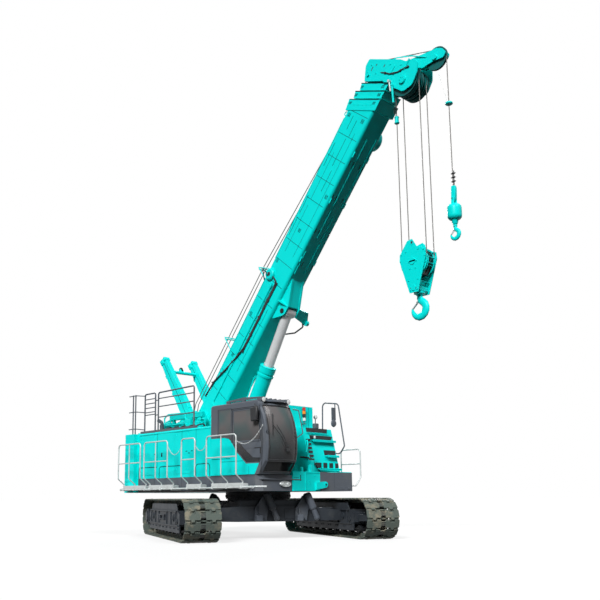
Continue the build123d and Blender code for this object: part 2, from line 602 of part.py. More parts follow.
for side in (-1, 1):
    head += curved_plate(side_outline, sorted((side * inner_half, side * HEAD_HALF)))
    head += curved_plate(tip_plate, sorted((side * 60, side * 85)))
head += across(SHEAVE_ALONG, -SHEAVE_BELOW, 55, (-HEAD_HALF - 25, HEAD_HALF + 25))
head += across(TIP_ALONG, -TIP_BELOW, 40, (-105, 105))
parts["boom_head"] = to_boom * head


def sheave(x, z, y, radius, width, bore):
    """A rope sheave: two flanges either side of its groove."""
    half = width / 2
    rim = radius + FLANGE
    seat = radius - SEAT
    steps = [(-half, rim), (8 - half, rim), (-ROPE_RADIUS, seat), (ROPE_RADIUS, seat),
             (half - 8, rim), (half, rim)]
    wheel = turned_across(x, z, y, steps)
    return wheel - across(x, z, bore, (y - width, y + width)) if bore else wheel


head_sheaves = []
for y in (-SHEAVE_SPREAD, -SHEAVE_OFFSET, 0, SHEAVE_OFFSET, SHEAVE_SPREAD):
    head_sheaves.append(sheave(SHEAVE_ALONG, -SHEAVE_BELOW, y, SHEAVE_RADIUS, SHEAVE_WIDTH, 55 + SEAT))
head_sheaves.append(sheave(TIP_ALONG, -TIP_BELOW, 0, TIP_RADIUS, SHEAVE_WIDTH, 40 + SEAT))
parts["head_sheaves"] = Compound([to_boom * s for s in head_sheaves])

# Lift ram: a chromed rod hung on the boom, in a barrel whose foot stands between the cheeks.
pin_turn = radians(BOOM_ANGLE)
RAM_TOP_X = FOOT_X + RAM_PIN_ALONG * cos(pin_turn) + RAM_PIN_BELOW * sin(pin_turn)
RAM_TOP_Z = FOOT_Z + RAM_PIN_ALONG * sin(pin_turn) - RAM_PIN_BELOW * cos(pin_turn)
RAM_LENGTH = hypot(RAM_TOP_X - RAM_FOOT_X, RAM_TOP_Z - RAM_FOOT_Z)
RAM_ANGLE = degrees(atan2(RAM_TOP_Z - RAM_FOOT_Z, RAM_TOP_X - RAM_FOOT_X))
to_ram = Pos(RAM_FOOT_X, 0, RAM_FOOT_Z) * Rot(0, -RAM_ANGLE, 0)


def along_bar(start, end, radius):
    """A round bar along the ram's own X."""
    return rod((start, 0, 0), (end, 0, 0), radius)


eye_half = EAR_INNER - 5
ram_rod = along_bar(1500, RAM_LENGTH - 60, RAM_ROD) + across(RAM_LENGTH, 0, 150, (-eye_half, eye_half))
ram_rod -= across(RAM_LENGTH, 0, RAM_PIN_RADIUS + FIT, (-300, 300))
parts["ram_rod"] = to_ram * ram_rod
barrel = along_bar(90, RAM_BARREL_LENGTH - 150, RAM_BARREL)
barrel += along_bar(RAM_BARREL_LENGTH - 151, RAM_BARREL_LENGTH, RAM_BARREL + 18)
barrel += across(0, 0, 150, (-eye_half, eye_half))
barrel += across(0, 0, RAM_PIN_RADIUS, (-RAM_BARREL - 20, RAM_BARREL + 20))
barrel -= along_bar(340, RAM_BARREL_LENGTH + 5, RAM_ROD + FIT)
parts["ram_barrel"] = to_ram * barrel

# Hooks: four falls to the main block and one to the auxiliary hook, hanging plumb.
main_x = FOOT_X + SHEAVE_ALONG * cos(pin_turn) + SHEAVE_BELOW * sin(pin_turn)
main_z = FOOT_Z + SHEAVE_ALONG * sin(pin_turn) - SHEAVE_BELOW * cos(pin_turn)
tip_x = FOOT_X + TIP_ALONG * cos(pin_turn) + TIP_BELOW * sin(pin_turn)
tip_z = FOOT_Z + TIP_ALONG * sin(pin_turn) - TIP_BELOW * cos(pin_turn)
block_z = main_z - BLOCK_DROP
rope_reach = SHEAVE_RADIUS + ROPE_RADIUS
falls = []
for y in (-SHEAVE_OFFSET, SHEAVE_OFFSET):
    for side in (-1, 1):
        x = main_x + side * rope_reach
        falls.append(rod((x, y, block_z), (x, y, main_z), ROPE_RADIUS))
parts["main_falls"] = Compound(falls)

block_plate = [(-120, 480), (0, 500), (120, 300), (330, 200), (345, 60), (110, -700), (-110, -700),
               (-345, 60), (-330, 200)]
TRUNNION_DROP = 600.0
TRUNNION_RADIUS = 60.0
block = across(0, 0, 50, (-225, 225)) + across(0, -TRUNNION_DROP, TRUNNION_RADIUS, (-225, 225))
for y in (-SHEAVE_OFFSET, SHEAVE_OFFSET):
    block += sheave(0, 0, y, SHEAVE_RADIUS, SHEAVE_WIDTH, 0)
for side in (-1, 1):
    block += side_plate(block_plate, sorted((side * 190, side * 212)))
parts["hook_block"] = Pos(main_x, 0, block_z) * block


def crane_hook(size, thick):
    """A forged hook: a tall open ring, thickest at its bottom, under a shank, in the X and Z plane."""
    form = Plane.XZ * Pos(0, -size * 1.5, 0) * Ellipse(size, size * 1.2)
    outer = extrude(form, amount=thick / 2, both=True)
    eye = Plane.XZ * Pos(-size * 0.2, -size * 1.42, 0) * Ellipse(size * 0.46, size * 0.62)
    inner = extrude(eye, amount=thick, both=True)
    mouth = side_plate([(-size * 0.16, -size * 1.3), (-size * 1.4, -size * 1.3), (-size * 1.4, 0),
                        (-size * 0.32, 0), (-size * 0.32, -size * 0.7)], (-thick, thick))
    shank = Pos(0, 0, -size * 0.4) * Cylinder(size * 0.3, size * 0.8)
    return (outer - inner - mouth) + shank


MAIN_HOOK_SIZE = 235.0
hook_top = block_z - TRUNNION_DROP - TRUNNION_RADIUS - SEAT
parts["main_hook"] = Pos(main_x, 0, hook_top) * crane_hook(MAIN_HOOK_SIZE, 110)

aux_x = tip_x + TIP_RADIUS + ROPE_RADIUS
aux_z = tip_z - AUX_DROP
parts["aux_fall"] = rod((aux_x, 0, aux_z), (aux_x, 0, tip_z), ROPE_RADIUS)
weight_top = -AUX_WEIGHT_LENGTH * 0.51
weight_low = weight_top - 310
socket = [(45, 0, 5), (60, -40, 10), (80, weight_top + 40, 20), (70, weight_top, 5),
          (AUX_WEIGHT_RADIUS, weight_top, 70), (AUX_WEIGHT_RADIUS, weight_low, 50),
          (110, weight_low - 10, 10), (70, -AUX_WEIGHT_LENGTH, 10)]
corners = [(0, 0, 0)] + [(r, 0, z) for r, z, bend in socket] + [(0, 0, -AUX_WEIGHT_LENGTH)]
outline = FilletPolyline(*corners, radius=[bend for r, z, bend in socket])
axis_line = Line((0, 0, -AUX_WEIGHT_LENGTH), (0, 0, 0))
weight_face = make_face(Wire([*outline.edges(), axis_line]))
parts["aux_weight"] = Pos(aux_x, 0, aux_z - SEAT) * revolve(weight_face, Axis.Z, 360)
AUX_HOOK_SIZE = 130.0
parts["aux_hook"] = Pos(aux_x, 0, aux_z - AUX_WEIGHT_LENGTH - 2 * SEAT) * crane_hook(AUX_HOOK_SIZE, 70)

# Cab: its sides are flat, and its glazed front is turned about an upright axis.
FRONT_SEAM = 1800.0
SILL = 1550.0


def cab_body(shrink):
    """The cab's outer form, drawn in by a wall on every side."""
    low = CAB_FLOOR + shrink
    high = CAB_ROOF - shrink
    lines = Polyline((0, 0, high), (0, 0, low), (870 - shrink, 0, low), (1065 - shrink, 0, FRONT_SEAM))
    front = ThreePointArc((1065 - shrink, 0, FRONT_SEAM), (1108 - shrink, 0, 2250), (855 - shrink, 0, high))
    roof = Line((855 - shrink, 0, high), (0, 0, high))
    nose = revolve(make_face(Wire([*lines.edges(), front, roof])), Axis.Z, 360)
    middle = (CAB_RIGHT + CAB_LEFT) / 2
    nose = Pos(CAB_AXIS_X, middle, 0) * nose
    sides = (CAB_RIGHT + shrink, CAB_LEFT - shrink)
    nose &= box((CAB_AXIS_X - 1, CAB_AXIS_X + 1300), sides, (low - 1, high + 1))
    return nose + box((CAB_REAR + shrink, CAB_AXIS_X), sides, (low, high))


outer_cab = cab_body(0)
cab = outer_cab - cab_body(CAB_WALL)
GLASS = 12.0
pane = cab_body(6) - cab_body(6 + GLASS)

door_outline = [(820, 3060), (1760, 3060), (1800, 2900), (1850, 2600), (1885, 2250), (1860, 1860),
                (1800, 1765), (1350, 1765), (1020, 2040), (820, 2300)]
panel_outline = [(CAB_REAR, CAB_FLOOR), (1640, CAB_FLOOR), (1790, 1750), (1345, 1750), (1010, 2030),
                 (805, 2300), (700, 2370), (560, 2395), (CAB_REAR, 2395)]
door_window = [(905, 3000), (1715, 3000), (1750, 2880), (1795, 2600), (1825, 2290), (905, 2290)]
rear_window = [(350, 3060), (790, 3060), (790, 2330), (700, 2395), (560, 2420), (350, 2420)]
right_wall = (CAB_RIGHT - 5, CAB_RIGHT + CAB_WALL)


def cut_wall(outline, gap):
    """A prism through the right wall, shrunk by a gap."""
    face = make_face(Polyline([(px, right_wall[0], pz) for px, pz in outline], close=True))
    if gap:
        face = offset(face, -gap)
    return extrude(face, amount=right_wall[1] - right_wall[0] + 1, dir=(0, 1, 0))


shell_wall = cab_body(0) & box((CAB_REAR - 5, 2300), right_wall, (CAB_FLOOR - 5, CAB_ROOF))
cab -= cut_wall(door_outline, 0)
cab -= cut_wall(panel_outline, 0)
cab -= cut_wall(rear_window, 0)
windscreen = box((1500, 2300), (CAB_RIGHT + 70, CAB_LEFT - 70), (FRONT_SEAM + 12, 3075))
lower_screen = box((1500, 2300), (CAB_RIGHT + 70, CAB_LEFT - 70), (SILL, FRONT_SEAM - 12))
left_window = box((900, 1750), (CAB_LEFT - CAB_WALL - 5, CAB_LEFT + 5), (2150, 3050))
rear_glass = box((CAB_REAR - 5, CAB_REAR + CAB_WALL + 5), (CAB_RIGHT + 130, CAB_LEFT - 130), (2450, 3050))
roof_window = box((700, 1600), (CAB_RIGHT + 150, CAB_LEFT - 150), (CAB_ROOF - CAB_WALL - 5, CAB_ROOF + 5))
openings = (windscreen, lower_screen, left_window, rear_glass, roof_window)
for opening in openings:
    cab -= opening
seam_x = CAB_REAR + CAB_WALL
seam_low = CAB_FLOOR + CAB_WALL
seam_high = CAB_ROOF - CAB_WALL
all_x = (CAB_REAR - 5, 2300)
all_y = (CAB_RIGHT - 5, CAB_LEFT + 5)
cab -= box(all_x, all_y, (seam_low, seam_low + SEAT)) + box(all_x, all_y, (seam_high - SEAT, seam_high))
cab -= box((seam_x, seam_x + SEAT), all_y, (seam_low, seam_high))
for y in (CAB_RIGHT + CAB_WALL, CAB_LEFT - CAB_WALL - SEAT):
    cab -= box(all_x, (y, y + SEAT), (seam_low, seam_high))
parts["cab_shell"] = Compound([panel for panel in cab.solids() if panel.volume > 1000])


def smaller(shape, gap):
    """The same block, drawn in by a gap on every side."""
    size = shape.bounding_box().size
    middle = shape.bounding_box().center()
    return Pos(*middle) * Box(size.X - 2 * gap, size.Y - 2 * gap, size.Z - 2 * gap)


panes = [pane & smaller(opening, SEAT) for opening in openings]
panes.append(pane & cut_wall(rear_window, SEAT))
panes.append(pane & cut_wall(door_window, SEAT))
parts["cab_glass"] = Compound([p.solids()[0] for p in panes])
door_slab = shell_wall & cut_wall(door_outline, SEAT)
parts["cab_door"] = door_slab - cut_wall(door_window, 0)
parts["cab_side_panel"] = shell_wall & cut_wall(panel_outline, SEAT)

# Seat and console inside.
floor = CAB_FLOOR + CAB_WALL + SEAT
seat = box((420, 980), (-1340, -860), (floor, 2000))
seat_back = box((400, 560), (-1330, -870), (2000 + SEAT, 2750))
seat_back = fillet(seat_back.edges().filter_by(Axis.X).sort_by(Axis.Z)[-2:], 40)
console = box((560, 1150), (-840, -700), (floor, 2230)) + box((1550, 1750), (-1300, -900), (floor, 1800))
parts["cab_interior"] = Compound([seat, seat_back, *console.solids()])

# Roof guard: a low frame of flat bars with arched cut-outs over the skylight.
guard_top = 3320.0
GUARD_REAR = 560.0
GUARD_FRONT = 1800.0
guard_side = (CAB_RIGHT + 60, CAB_LEFT - 60)
guard_low = CAB_ROOF + SEAT
guard = []
for y in (guard_side[0], guard_side[1] - 30):
    plate = [(GUARD_REAR, guard_low), (GUARD_FRONT, guard_low), (GUARD_FRONT, guard_top - 40),
             (1200, guard_top), (GUARD_REAR, guard_top - 40)]
    bar = side_plate(plate, (y, y + 30))
    for x0, x1 in ((680, 1150), (1230, 1680)):
        arch = [(x0, guard_low + 30, 5), (x1, guard_low + 30, 5), (x1, guard_top - 70, 40),
                (x0, guard_top - 70, 40)]
        bar -= curved_plate(arch, (y - 5, y + 35))
    guard.append(bar)
between = (guard_side[0] + 30 + SEAT, guard_side[1] - 30 - SEAT)
for x in (GUARD_REAR, GUARD_FRONT - 30):
    guard.append(box((x, x + 30), between, (guard_low, guard_top - 75)))
for y in (-1350, -1200, -1050, -900):
    guard.append(box((GUARD_REAR + 5, GUARD_FRONT - 5), (y, y + 25), (guard_top - 75 + SEAT, guard_top - 50)))

# Walkway along the right side: planks on brackets, a long tube, and handrail frames.
RAIL_FRAMES = ((-3430.0, -2370.0, True), (-2190.0, -1150.0, True), (-560.0, -16.0, False),
               (430.0, 1510.0, True))
ROD_END = 1900.0
walkway = rod((-3575, RAIL_FOOT - 20, 1200), (ROD_END, RAIL_FOOT - 20, 1200), 22)
for x0, x1, mid_post in RAIL_FRAMES:
    walkway += box((x0 - 20, x1 + 20), (RAIL_FOOT - 20, CAB_RIGHT - 100), (1225, PLANK_TOP))
    for x in (x0 + 25, x1 - 25):
        walkway += box((x - 18, x + 18), (RAIL_FOOT - 45, CAB_RIGHT - 100), (1165, 1240))
for x in (-2400.0, -1200.0, -300.0, 480.0, 1400.0):
    walkway += box((x - 30, x + 30), (RAIL_FOOT - 20, CAB_RIGHT - SEAT), (1170, 1225))
parts["walkway"] = walkway

rails = []
for x0, x1, mid_post in RAIL_FRAMES:
    foot = PLANK_TOP + SEAT
    leg = [(RAIL_FOOT, foot), (RAIL_FOOT, foot + 45), (RAIL_PLANE, RAIL_KNEE), (RAIL_PLANE, RAIL_TOP)]
    points = [(x0, py, pz) for py, pz in leg] + [(x1, py, pz) for py, pz in reversed(leg)]
    rail = pipe(points, RAIL_TUBE, [20, 60, 90, 90, 60, 20])
    rail += rod((x0, RAIL_PLANE, 1900), (x1, RAIL_PLANE, 1900), RAIL_TUBE - 2)
    if mid_post:
        post = [((x0 + x1) / 2, py, pz) for py, pz in leg]
        rail += pipe(post, RAIL_TUBE - 2, [20, 60])
    rails.append(rail)

# Left front handrail and the mirror hoop.
left_leg = [(HOUSE_SIDE + SEAT, 1260), (1850, 1260), (2050, 1480), (2050, 2210)]
left_line = [(1060, py, pz) for py, pz in left_leg] + [(1720, py, pz) for py, pz in reversed(left_leg)]
left_rail = pipe(left_line, RAIL_TUBE, [60, 60, 90, 90, 60, 60])
left_rail += rod((1060, 2050, 1830), (1720, 2050, 1830), RAIL_TUBE - 2)
left_rail += rod((1060, 1850, 1260), (1720, 1850, 1260), RAIL_TUBE - 2)
parts["handrails"] = Compound(rails + [left_rail])
hoop_y = 1750.0
hoop = pipe([(1285, HOUSE_SIDE + SEAT, 2100), (1285, hoop_y, 2100), (1450, hoop_y, 2290),
             (1260, hoop_y, 3420), (700, hoop_y, 3500), (680, hoop_y, 2660), (680, HOUSE_SIDE + SEAT, 2660)],
            18, [60, 80, 110, 110, 60])
hoop += box((1130, 1160), (hoop_y - 130, hoop_y + 10), (2985, 3320))
hoop += rod((1145, hoop_y, 3300), (1145, hoop_y, 3450), 14)
parts["mirror_hoop"] = hoop

# Guard rails on the right rear of the house roof.
roof_y = -1550.0
roof_base = HOUSE_TOP + SEAT
roof = pipe([(-2290, roof_y, roof_base), (-2290, roof_y, 3800), (-710, roof_y, 3820),
             (-710, roof_y, roof_base)], 20, 60)
for z in (3130, 3420, 3640):
    roof += rod((-2290, roof_y, z), (-710, roof_y, z), 15)
roof += pipe([(-2930, roof_y, roof_base), (-2930, roof_y, 3810), (-2430, roof_y, 3810),
              (-2430, roof_y, roof_base)], 20, 60)
for z in (3230, 3300, 3420, 3540, 3660):
    roof += rod((-2930, roof_y, z), (-2430, roof_y, z), 14)
for z in (3200, 3600):
    roof += rod((-2430, roof_y, z), (-2290, roof_y, z), 14)
rear_posts = []
for x in (-3520, -3400):
    rear_posts.append(rod((x, roof_y, roof_base), (x, roof_y, 3850), 18))
end_rail = rear_posts[0] + rear_posts[1]
for z in (2890, 3370, 3830):
    end_rail += rod((-3720, roof_y, z), (-3400, roof_y, z), 14)
    end_rail += rod((-3400, roof_y, z), (-2930, roof_y, z - 60), 14)
roof += box((-3100, -565), (roof_y - 25, roof_y + 5), (roof_base, HOUSE_TOP + 60))
parts["roof_rails"] = Compound([roof + end_rail, *guard])

# The row's origin is under the middle of the machine's length.
front_reach = aux_x + AUX_WEIGHT_RADIUS
ORIGIN_X = (TAIL_RADIUS - front_reach) / 2

os.makedirs("parts", exist_ok=True)
for name, shape in parts.items():
    export_step(Pos(ORIGIN_X, 0, 0) * shape, f"parts/{name}.step")


def place(x, z):
    """A joint's centre in the row's frame, in metres."""
    return round((x + ORIGIN_X) / 1000, 5), round(z / 1000, 5)


print("slew axis", place(0, 0), "luff pin", place(FOOT_X, FOOT_Z), "ram top", place(RAM_TOP_X, RAM_TOP_Z))
print("ram foot", place(RAM_FOOT_X, RAM_FOOT_Z), "ram length", round(RAM_LENGTH, 2))
print("main sheave", place(main_x, main_z), "tip sheave", place(tip_x, tip_z))
print("ram angle", round(RAM_ANGLE, 4), "mast pin", place(MAST_X, MAST_Z))
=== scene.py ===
import json
import math

import bmesh
import bpy
from mathutils import Matrix, Vector


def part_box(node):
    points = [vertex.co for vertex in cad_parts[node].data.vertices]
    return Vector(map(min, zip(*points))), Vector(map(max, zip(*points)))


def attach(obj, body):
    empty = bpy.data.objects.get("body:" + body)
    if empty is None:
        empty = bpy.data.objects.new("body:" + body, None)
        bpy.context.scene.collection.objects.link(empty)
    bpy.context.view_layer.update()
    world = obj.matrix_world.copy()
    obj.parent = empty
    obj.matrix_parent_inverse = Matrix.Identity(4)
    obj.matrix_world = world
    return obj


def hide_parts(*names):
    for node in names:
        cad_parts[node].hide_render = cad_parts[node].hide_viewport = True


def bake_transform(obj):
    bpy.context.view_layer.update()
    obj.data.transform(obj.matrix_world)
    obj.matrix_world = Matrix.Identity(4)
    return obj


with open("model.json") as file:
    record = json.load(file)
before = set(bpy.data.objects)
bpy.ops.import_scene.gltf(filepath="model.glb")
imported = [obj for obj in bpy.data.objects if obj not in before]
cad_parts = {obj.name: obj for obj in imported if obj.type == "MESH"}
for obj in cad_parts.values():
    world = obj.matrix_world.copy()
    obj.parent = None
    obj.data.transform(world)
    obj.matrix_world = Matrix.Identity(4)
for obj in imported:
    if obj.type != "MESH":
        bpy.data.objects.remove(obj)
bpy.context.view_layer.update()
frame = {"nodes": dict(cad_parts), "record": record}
SHIFT = frame["record"]["behaviour"]["joints"][0]["pos_m"][0]

# The studio: a white floor that keeps the machine's shadow, a white surround and three suns.
# It is staging and not part of the machine. Light that bounces off the floor is kept low, as on
# dark ground, so that the undersides stay dark.
scene = bpy.context.scene
scene.view_settings.view_transform = "Standard"


def node(tree, kind, inputs, **settings):
    """A shader node: its settings come first, and then each input gets a value or a link."""
    made = tree.nodes.new(kind)
    for key, value in settings.items():
        setattr(made, key, value)
    for key, value in inputs.items():
        value = getattr(value, "socket", value)
        if isinstance(value, bpy.types.NodeSocket):
            tree.links.new(value, made.inputs[key])
        else:
            made.inputs[key].default_value = value
    return made


def seen_directly(tree):
    """1 for rays from the camera, a reflection or glass, and 0 for the light on the machine."""
    rays = node(tree, "ShaderNodeLightPath", {}).outputs
    seen = rays["Is Camera Ray"]
    for ray in ("Is Glossy Ray", "Is Transmission Ray"):
        seen = node(tree, "ShaderNodeMath", {0: seen, 1: rays[ray]}, operation="MAXIMUM").outputs[0]
    return seen


world = bpy.data.worlds.new("studio")
world.use_nodes = True
scene.world = world
tree = world.node_tree
tree.nodes.clear()
WHITE = (1, 1, 1, 1)
sky = node(tree, "ShaderNodeBackground", {"Color": WHITE, "Strength": 0.07})
white = node(tree, "ShaderNodeBackground", {"Color": WHITE, "Strength": 1.0})
mixed = node(tree, "ShaderNodeMixShader", {0: seen_directly(tree), 1: sky.outputs[0], 2: white.outputs[0]})
node(tree, "ShaderNodeOutputWorld", {0: mixed.outputs[0]})

floor_mesh = bpy.data.meshes.new("floor")
bm = bmesh.new()
bmesh.ops.create_grid(bm, x_segments=1, y_segments=1, size=400, matrix=Matrix.Translation((0, 0, -0.002)))
bm.to_mesh(floor_mesh)
bm.free()
floor = bpy.data.objects.new("floor", floor_mesh)
scene.collection.objects.link(floor)
floor_paint = bpy.data.materials.new("floor")
floor_paint.use_nodes = True
tree = floor_paint.node_tree
tree.nodes.clear()
pale = node(tree, "ShaderNodeBsdfDiffuse", {"Color": (0.24, 0.24, 0.24, 1)})
glow = node(tree, "ShaderNodeEmission", {"Color": WHITE, "Strength": 0.73})
both = node(tree, "ShaderNodeAddShader", {0: pale.outputs[0], 1: glow.outputs[0]})
dark = node(tree, "ShaderNodeBsdfDiffuse", {"Color": (0.015, 0.015, 0.015, 1)})
mixed = node(tree, "ShaderNodeMixShader", {0: seen_directly(tree), 1: dark.outputs[0], 2: both.outputs[0]})
node(tree, "ShaderNodeOutputMaterial", {0: mixed.outputs[0]})
floor_mesh.materials.append(floor_paint)

# Each sun's level is what it gives a white surface that faces it.
for name, direction, level in (("key", (0.352, -0.755, 0.553), 1.25), ("front", (0.66, 0.05, 0.75), 0.42),
                               ("back", (-0.62, 0.68, 0.39), 0.55)):
    light = bpy.data.lights.new(name, "SUN")
    light.energy = level * math.pi
    light.angle = 0.35
    thing = bpy.data.objects.new(name, light)
    scene.collection.objects.link(thing)
    thing.rotation_euler = Vector(direction).to_track_quat("Z", "Y").to_euler()

# The camera stands low at the front right of the machine, where the photograph was taken.
camera = bpy.data.cameras.new("camera")
camera.sensor_fit = "HORIZONTAL"
camera.sensor_width = 36.0
camera.lens = 45.785
camera.shift_x = 0.07924
camera.shift_y = 0.11348
camera.clip_end = 2000
right = Vector((0.6691, 0.7432, -0.0048))
forward = Vector((-0.7320, 0.6601, 0.1686))
facing = Matrix((right, right.cross(forward), -forward)).transposed().to_4x4()
eye = bpy.data.objects.new("camera", camera)
scene.collection.objects.link(eye)
eye.matrix_world = Matrix.Translation((14.714 + SHIFT, -13.441, 0.947)) @ facing
scene.camera = eye


# Tracks: forged links on pins, with a cast shoe bolted to each. Every shoe's tongues reach into
# the notches of the next. The steel is rolled grey, with dry tan earth in its pits.
class Field:
    """A number or colour in a shader. Arithmetic on it adds Math nodes."""

    def __init__(self, socket):
        self.socket = socket

    def worked(self, kind, first, second, clamp=False):
        return Field(node(self.socket.id_data, "ShaderNodeMath", {0: first, 1: second}, operation=kind,
                          use_clamp=clamp).outputs[0])

    def __add__(self, other):
        return self.worked("ADD", self, other)

    def __radd__(self, other):
        return self.worked("ADD", other, self)

    def __sub__(self, other):
        return self.worked("SUBTRACT", self, other)

    def __mul__(self, other):
        return self.worked("MULTIPLY", self, other)

    def clamped(self):
        return self.worked("MULTIPLY", self, 1.0, clamp=True)


def speckle(tree, scale, detail, gain=0.5):
    """Noise laid over the piece's own coordinates."""
    place = node(tree, "ShaderNodeTexCoord", {}).outputs["Object"]
    return Field(node(tree, "ShaderNodeTexNoise", {
        "Vector": place, "Scale": scale, "Detail": detail, "Roughness": gain}).outputs[0])


def shades(tree, amount, first, second):
    """Two colours, mixed by an amount."""
    return node(tree, "ShaderNodeMix", {0: amount, 6: first, 7: second}, data_type="RGBA").outputs[2]


def finish(name, colour, second, patches, share, rough, metal=0.0, grain=60.0, depth=0.05, shine=0.2):
    """A painted or bare surface: two shades in soft patches of some size, and a fine grain."""
    made = bpy.data.materials.new(name)
    made.use_nodes = True
    tree = made.node_tree
    surface = tree.nodes["Principled BSDF"]
    broad, fine = speckle(tree, patches, 5.0, 0.62), speckle(tree, grain, 2.0)
    sharpness, fray = 5.0, 0.8
    mask = ((broad - (1 - share)) * sharpness + 0.5 + (fine - 0.5) * fray).clamped()
    tree.links.new(shades(tree, mask, (*colour, 1), (*second, 1)), surface.inputs["Base Color"])
    spread = rough + (broad - 0.5) * 0.25 + mask * 0.08
    tree.links.new(spread.clamped().socket, surface.inputs["Roughness"])
    bump = node(tree, "ShaderNodeBump", {"Strength": depth, "Distance": 0.004, "Height": fine})
    tree.links.new(bump.outputs[0], surface.inputs["Normal"])
    surface.inputs["Metallic"].default_value = metal
    surface.inputs["Specular IOR Level"].default_value = shine
    return made


def fresh(name, paint, body, bm, sharp=32):
    """A finished piece, drawn about the slewing axis and moved into the row's frame."""
    bmesh.ops.translate(bm, verts=bm.verts, vec=(SHIFT, 0, 0))
    bmesh.ops.recalc_face_normals(bm, faces=bm.faces)
    mesh = bpy.data.meshes.new(name)
    bm.to_mesh(mesh)
    bm.free()
    mesh.shade_smooth()
    mesh.set_sharp_from_angle(angle=math.radians(sharp))
    mesh.materials.append(paint)
    piece = bpy.data.objects.new(name, mesh)
    scene.collection.objects.link(piece)
    if body:
        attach(piece, body)
    return piece


def dress(paint, *nodes):
    """Gives CAD nodes their finish."""
    for name in nodes:
        frame["nodes"][name].data.materials.clear()
        frame["nodes"][name].data.materials.append(paint)


def moved(x, y, z):
    """The place of something that is moved and not turned."""
    return Matrix.Translation((x, y, z))


def about(middle, half):
    """The two ends of a span."""
    return middle - half, middle + half


def both(near, far):
    """A span on the right of the middle, and the same on the left."""
    return (-near, -far), (near, far)


def break_edges(bm, edges, width):
    """Takes the sharpness off some edges."""
    bmesh.ops.bevel(bm, geom=edges, offset=width, offset_type="OFFSET", affect="EDGES", segments=1,
                    profile=0.5, material=-1)


def block(bm, x, y, z, at=Matrix(), edge=0.0):
    """A block between two x, two y and two z values in any order, with its edges broken."""
    (x0, x1), (y0, y1), (z0, z1) = sorted(x), sorted(y), sorted(z)
    middle = moved((x0 + x1) / 2, (y0 + y1) / 2, (z0 + z1) / 2)
    size = Matrix.Diagonal((x1 - x0, y1 - y0, z1 - z0, 1))
    verts = bmesh.ops.create_cube(bm, size=1, matrix=at @ middle @ size)["verts"]
    if edge:
        break_edges(bm, list({e for v in verts for e in v.link_edges}), edge)


def bar(bm, start, end, radius, sides=10, at=Matrix()):
    """A round bar between two points."""
    start, end = Vector(start), Vector(end)
    turn = (end - start).to_track_quat("Z", "Y").to_matrix().to_4x4()
    bmesh.ops.create_cone(bm, cap_ends=True, segments=sides, radius1=radius, radius2=radius,
                          depth=(end - start).length,
                          matrix=at @ Matrix.Translation((start + end) / 2) @ turn)


def stud(bm, x, y, z, radius, sides=10, at=Matrix()):
    """A round bar along one axis, which is given by its two ends. The other two are single values."""
    start, end = ([v[i] if isinstance(v, tuple) else v for v in (x, y, z)] for i in (0, 1))
    bar(bm, start, end, radius, sides, at)


def plate(bm, outline, thick, at=Matrix(), edge=0.0):
    """A flat plate: an outline in its own X and Y, thickened along its Z."""
    face = bm.faces.new([bm.verts.new(at @ Vector((px, py, 0))) for px, py in outline])
    grown = bmesh.ops.extrude_face_region(bm, geom=[face])["geom"]
    verts = [g for g in grown if isinstance(g, bmesh.types.BMVert)]
    bmesh.ops.translate(bm, verts=verts, vec=at.to_3x3() @ Vector((0, 0, thick)))
    if edge:
        top = [g for g in grown if isinstance(g, bmesh.types.BMFace)][0]
        break_edges(bm, list(top.edges), edge)


# An outline laid on a side faces right, with X forward and Y up; on the front it faces forward.
SIDE = Matrix(((1, 0, 0, 0), (0, 0, -1, 0), (0, 1, 0, 0), (0, 0, 0, 1)))
FRONT = Matrix(((0, 0, 1, 0), (1, 0, 0, 0), (0, 1, 0, 0), (0, 0, 0, 1)))

track_steel = finish("track_steel", (0.085, 0.105, 0.092), (0.235, 0.215, 0.160), 4.5, 0.42, 0.72, metal=0.15,
                     grain=45, depth=0.5)
STRAIGHT = 4.806
PITCH_RADIUS = 0.400
ROLL_HEIGHT = 0.477
LINKS = 60
PITCH = (2 * STRAIGHT + 2 * math.pi * PITCH_RADIUS) / LINKS
LANE = 2.115
UNDER = Matrix.Rotation(math.radians(-25), 4, "Z")


def chain_pin(distance):
    """Where a pin is after a distance along the track's loop, in its own X and Z."""
    arc = math.pi * PITCH_RADIUS
    distance = (distance + STRAIGHT / 2) % (2 * STRAIGHT + 2 * arc)
    if distance <= STRAIGHT:
        return Vector((distance - STRAIGHT / 2, 0, ROLL_HEIGHT - PITCH_RADIUS))
    distance -= STRAIGHT
    if distance <= arc:
        turn = distance / PITCH_RADIUS
        return Vector((STRAIGHT / 2 + PITCH_RADIUS * math.sin(turn), 0,
                       ROLL_HEIGHT - PITCH_RADIUS * math.cos(turn)))
    distance -= arc
    if distance <= STRAIGHT:
        return Vector((STRAIGHT / 2 - distance, 0, ROLL_HEIGHT + PITCH_RADIUS))
    turn = (distance - STRAIGHT) / PITCH_RADIUS
    return Vector((-STRAIGHT / 2 - PITCH_RADIUS * math.sin(turn), 0,
                   ROLL_HEIGHT + PITCH_RADIUS * math.cos(turn)))


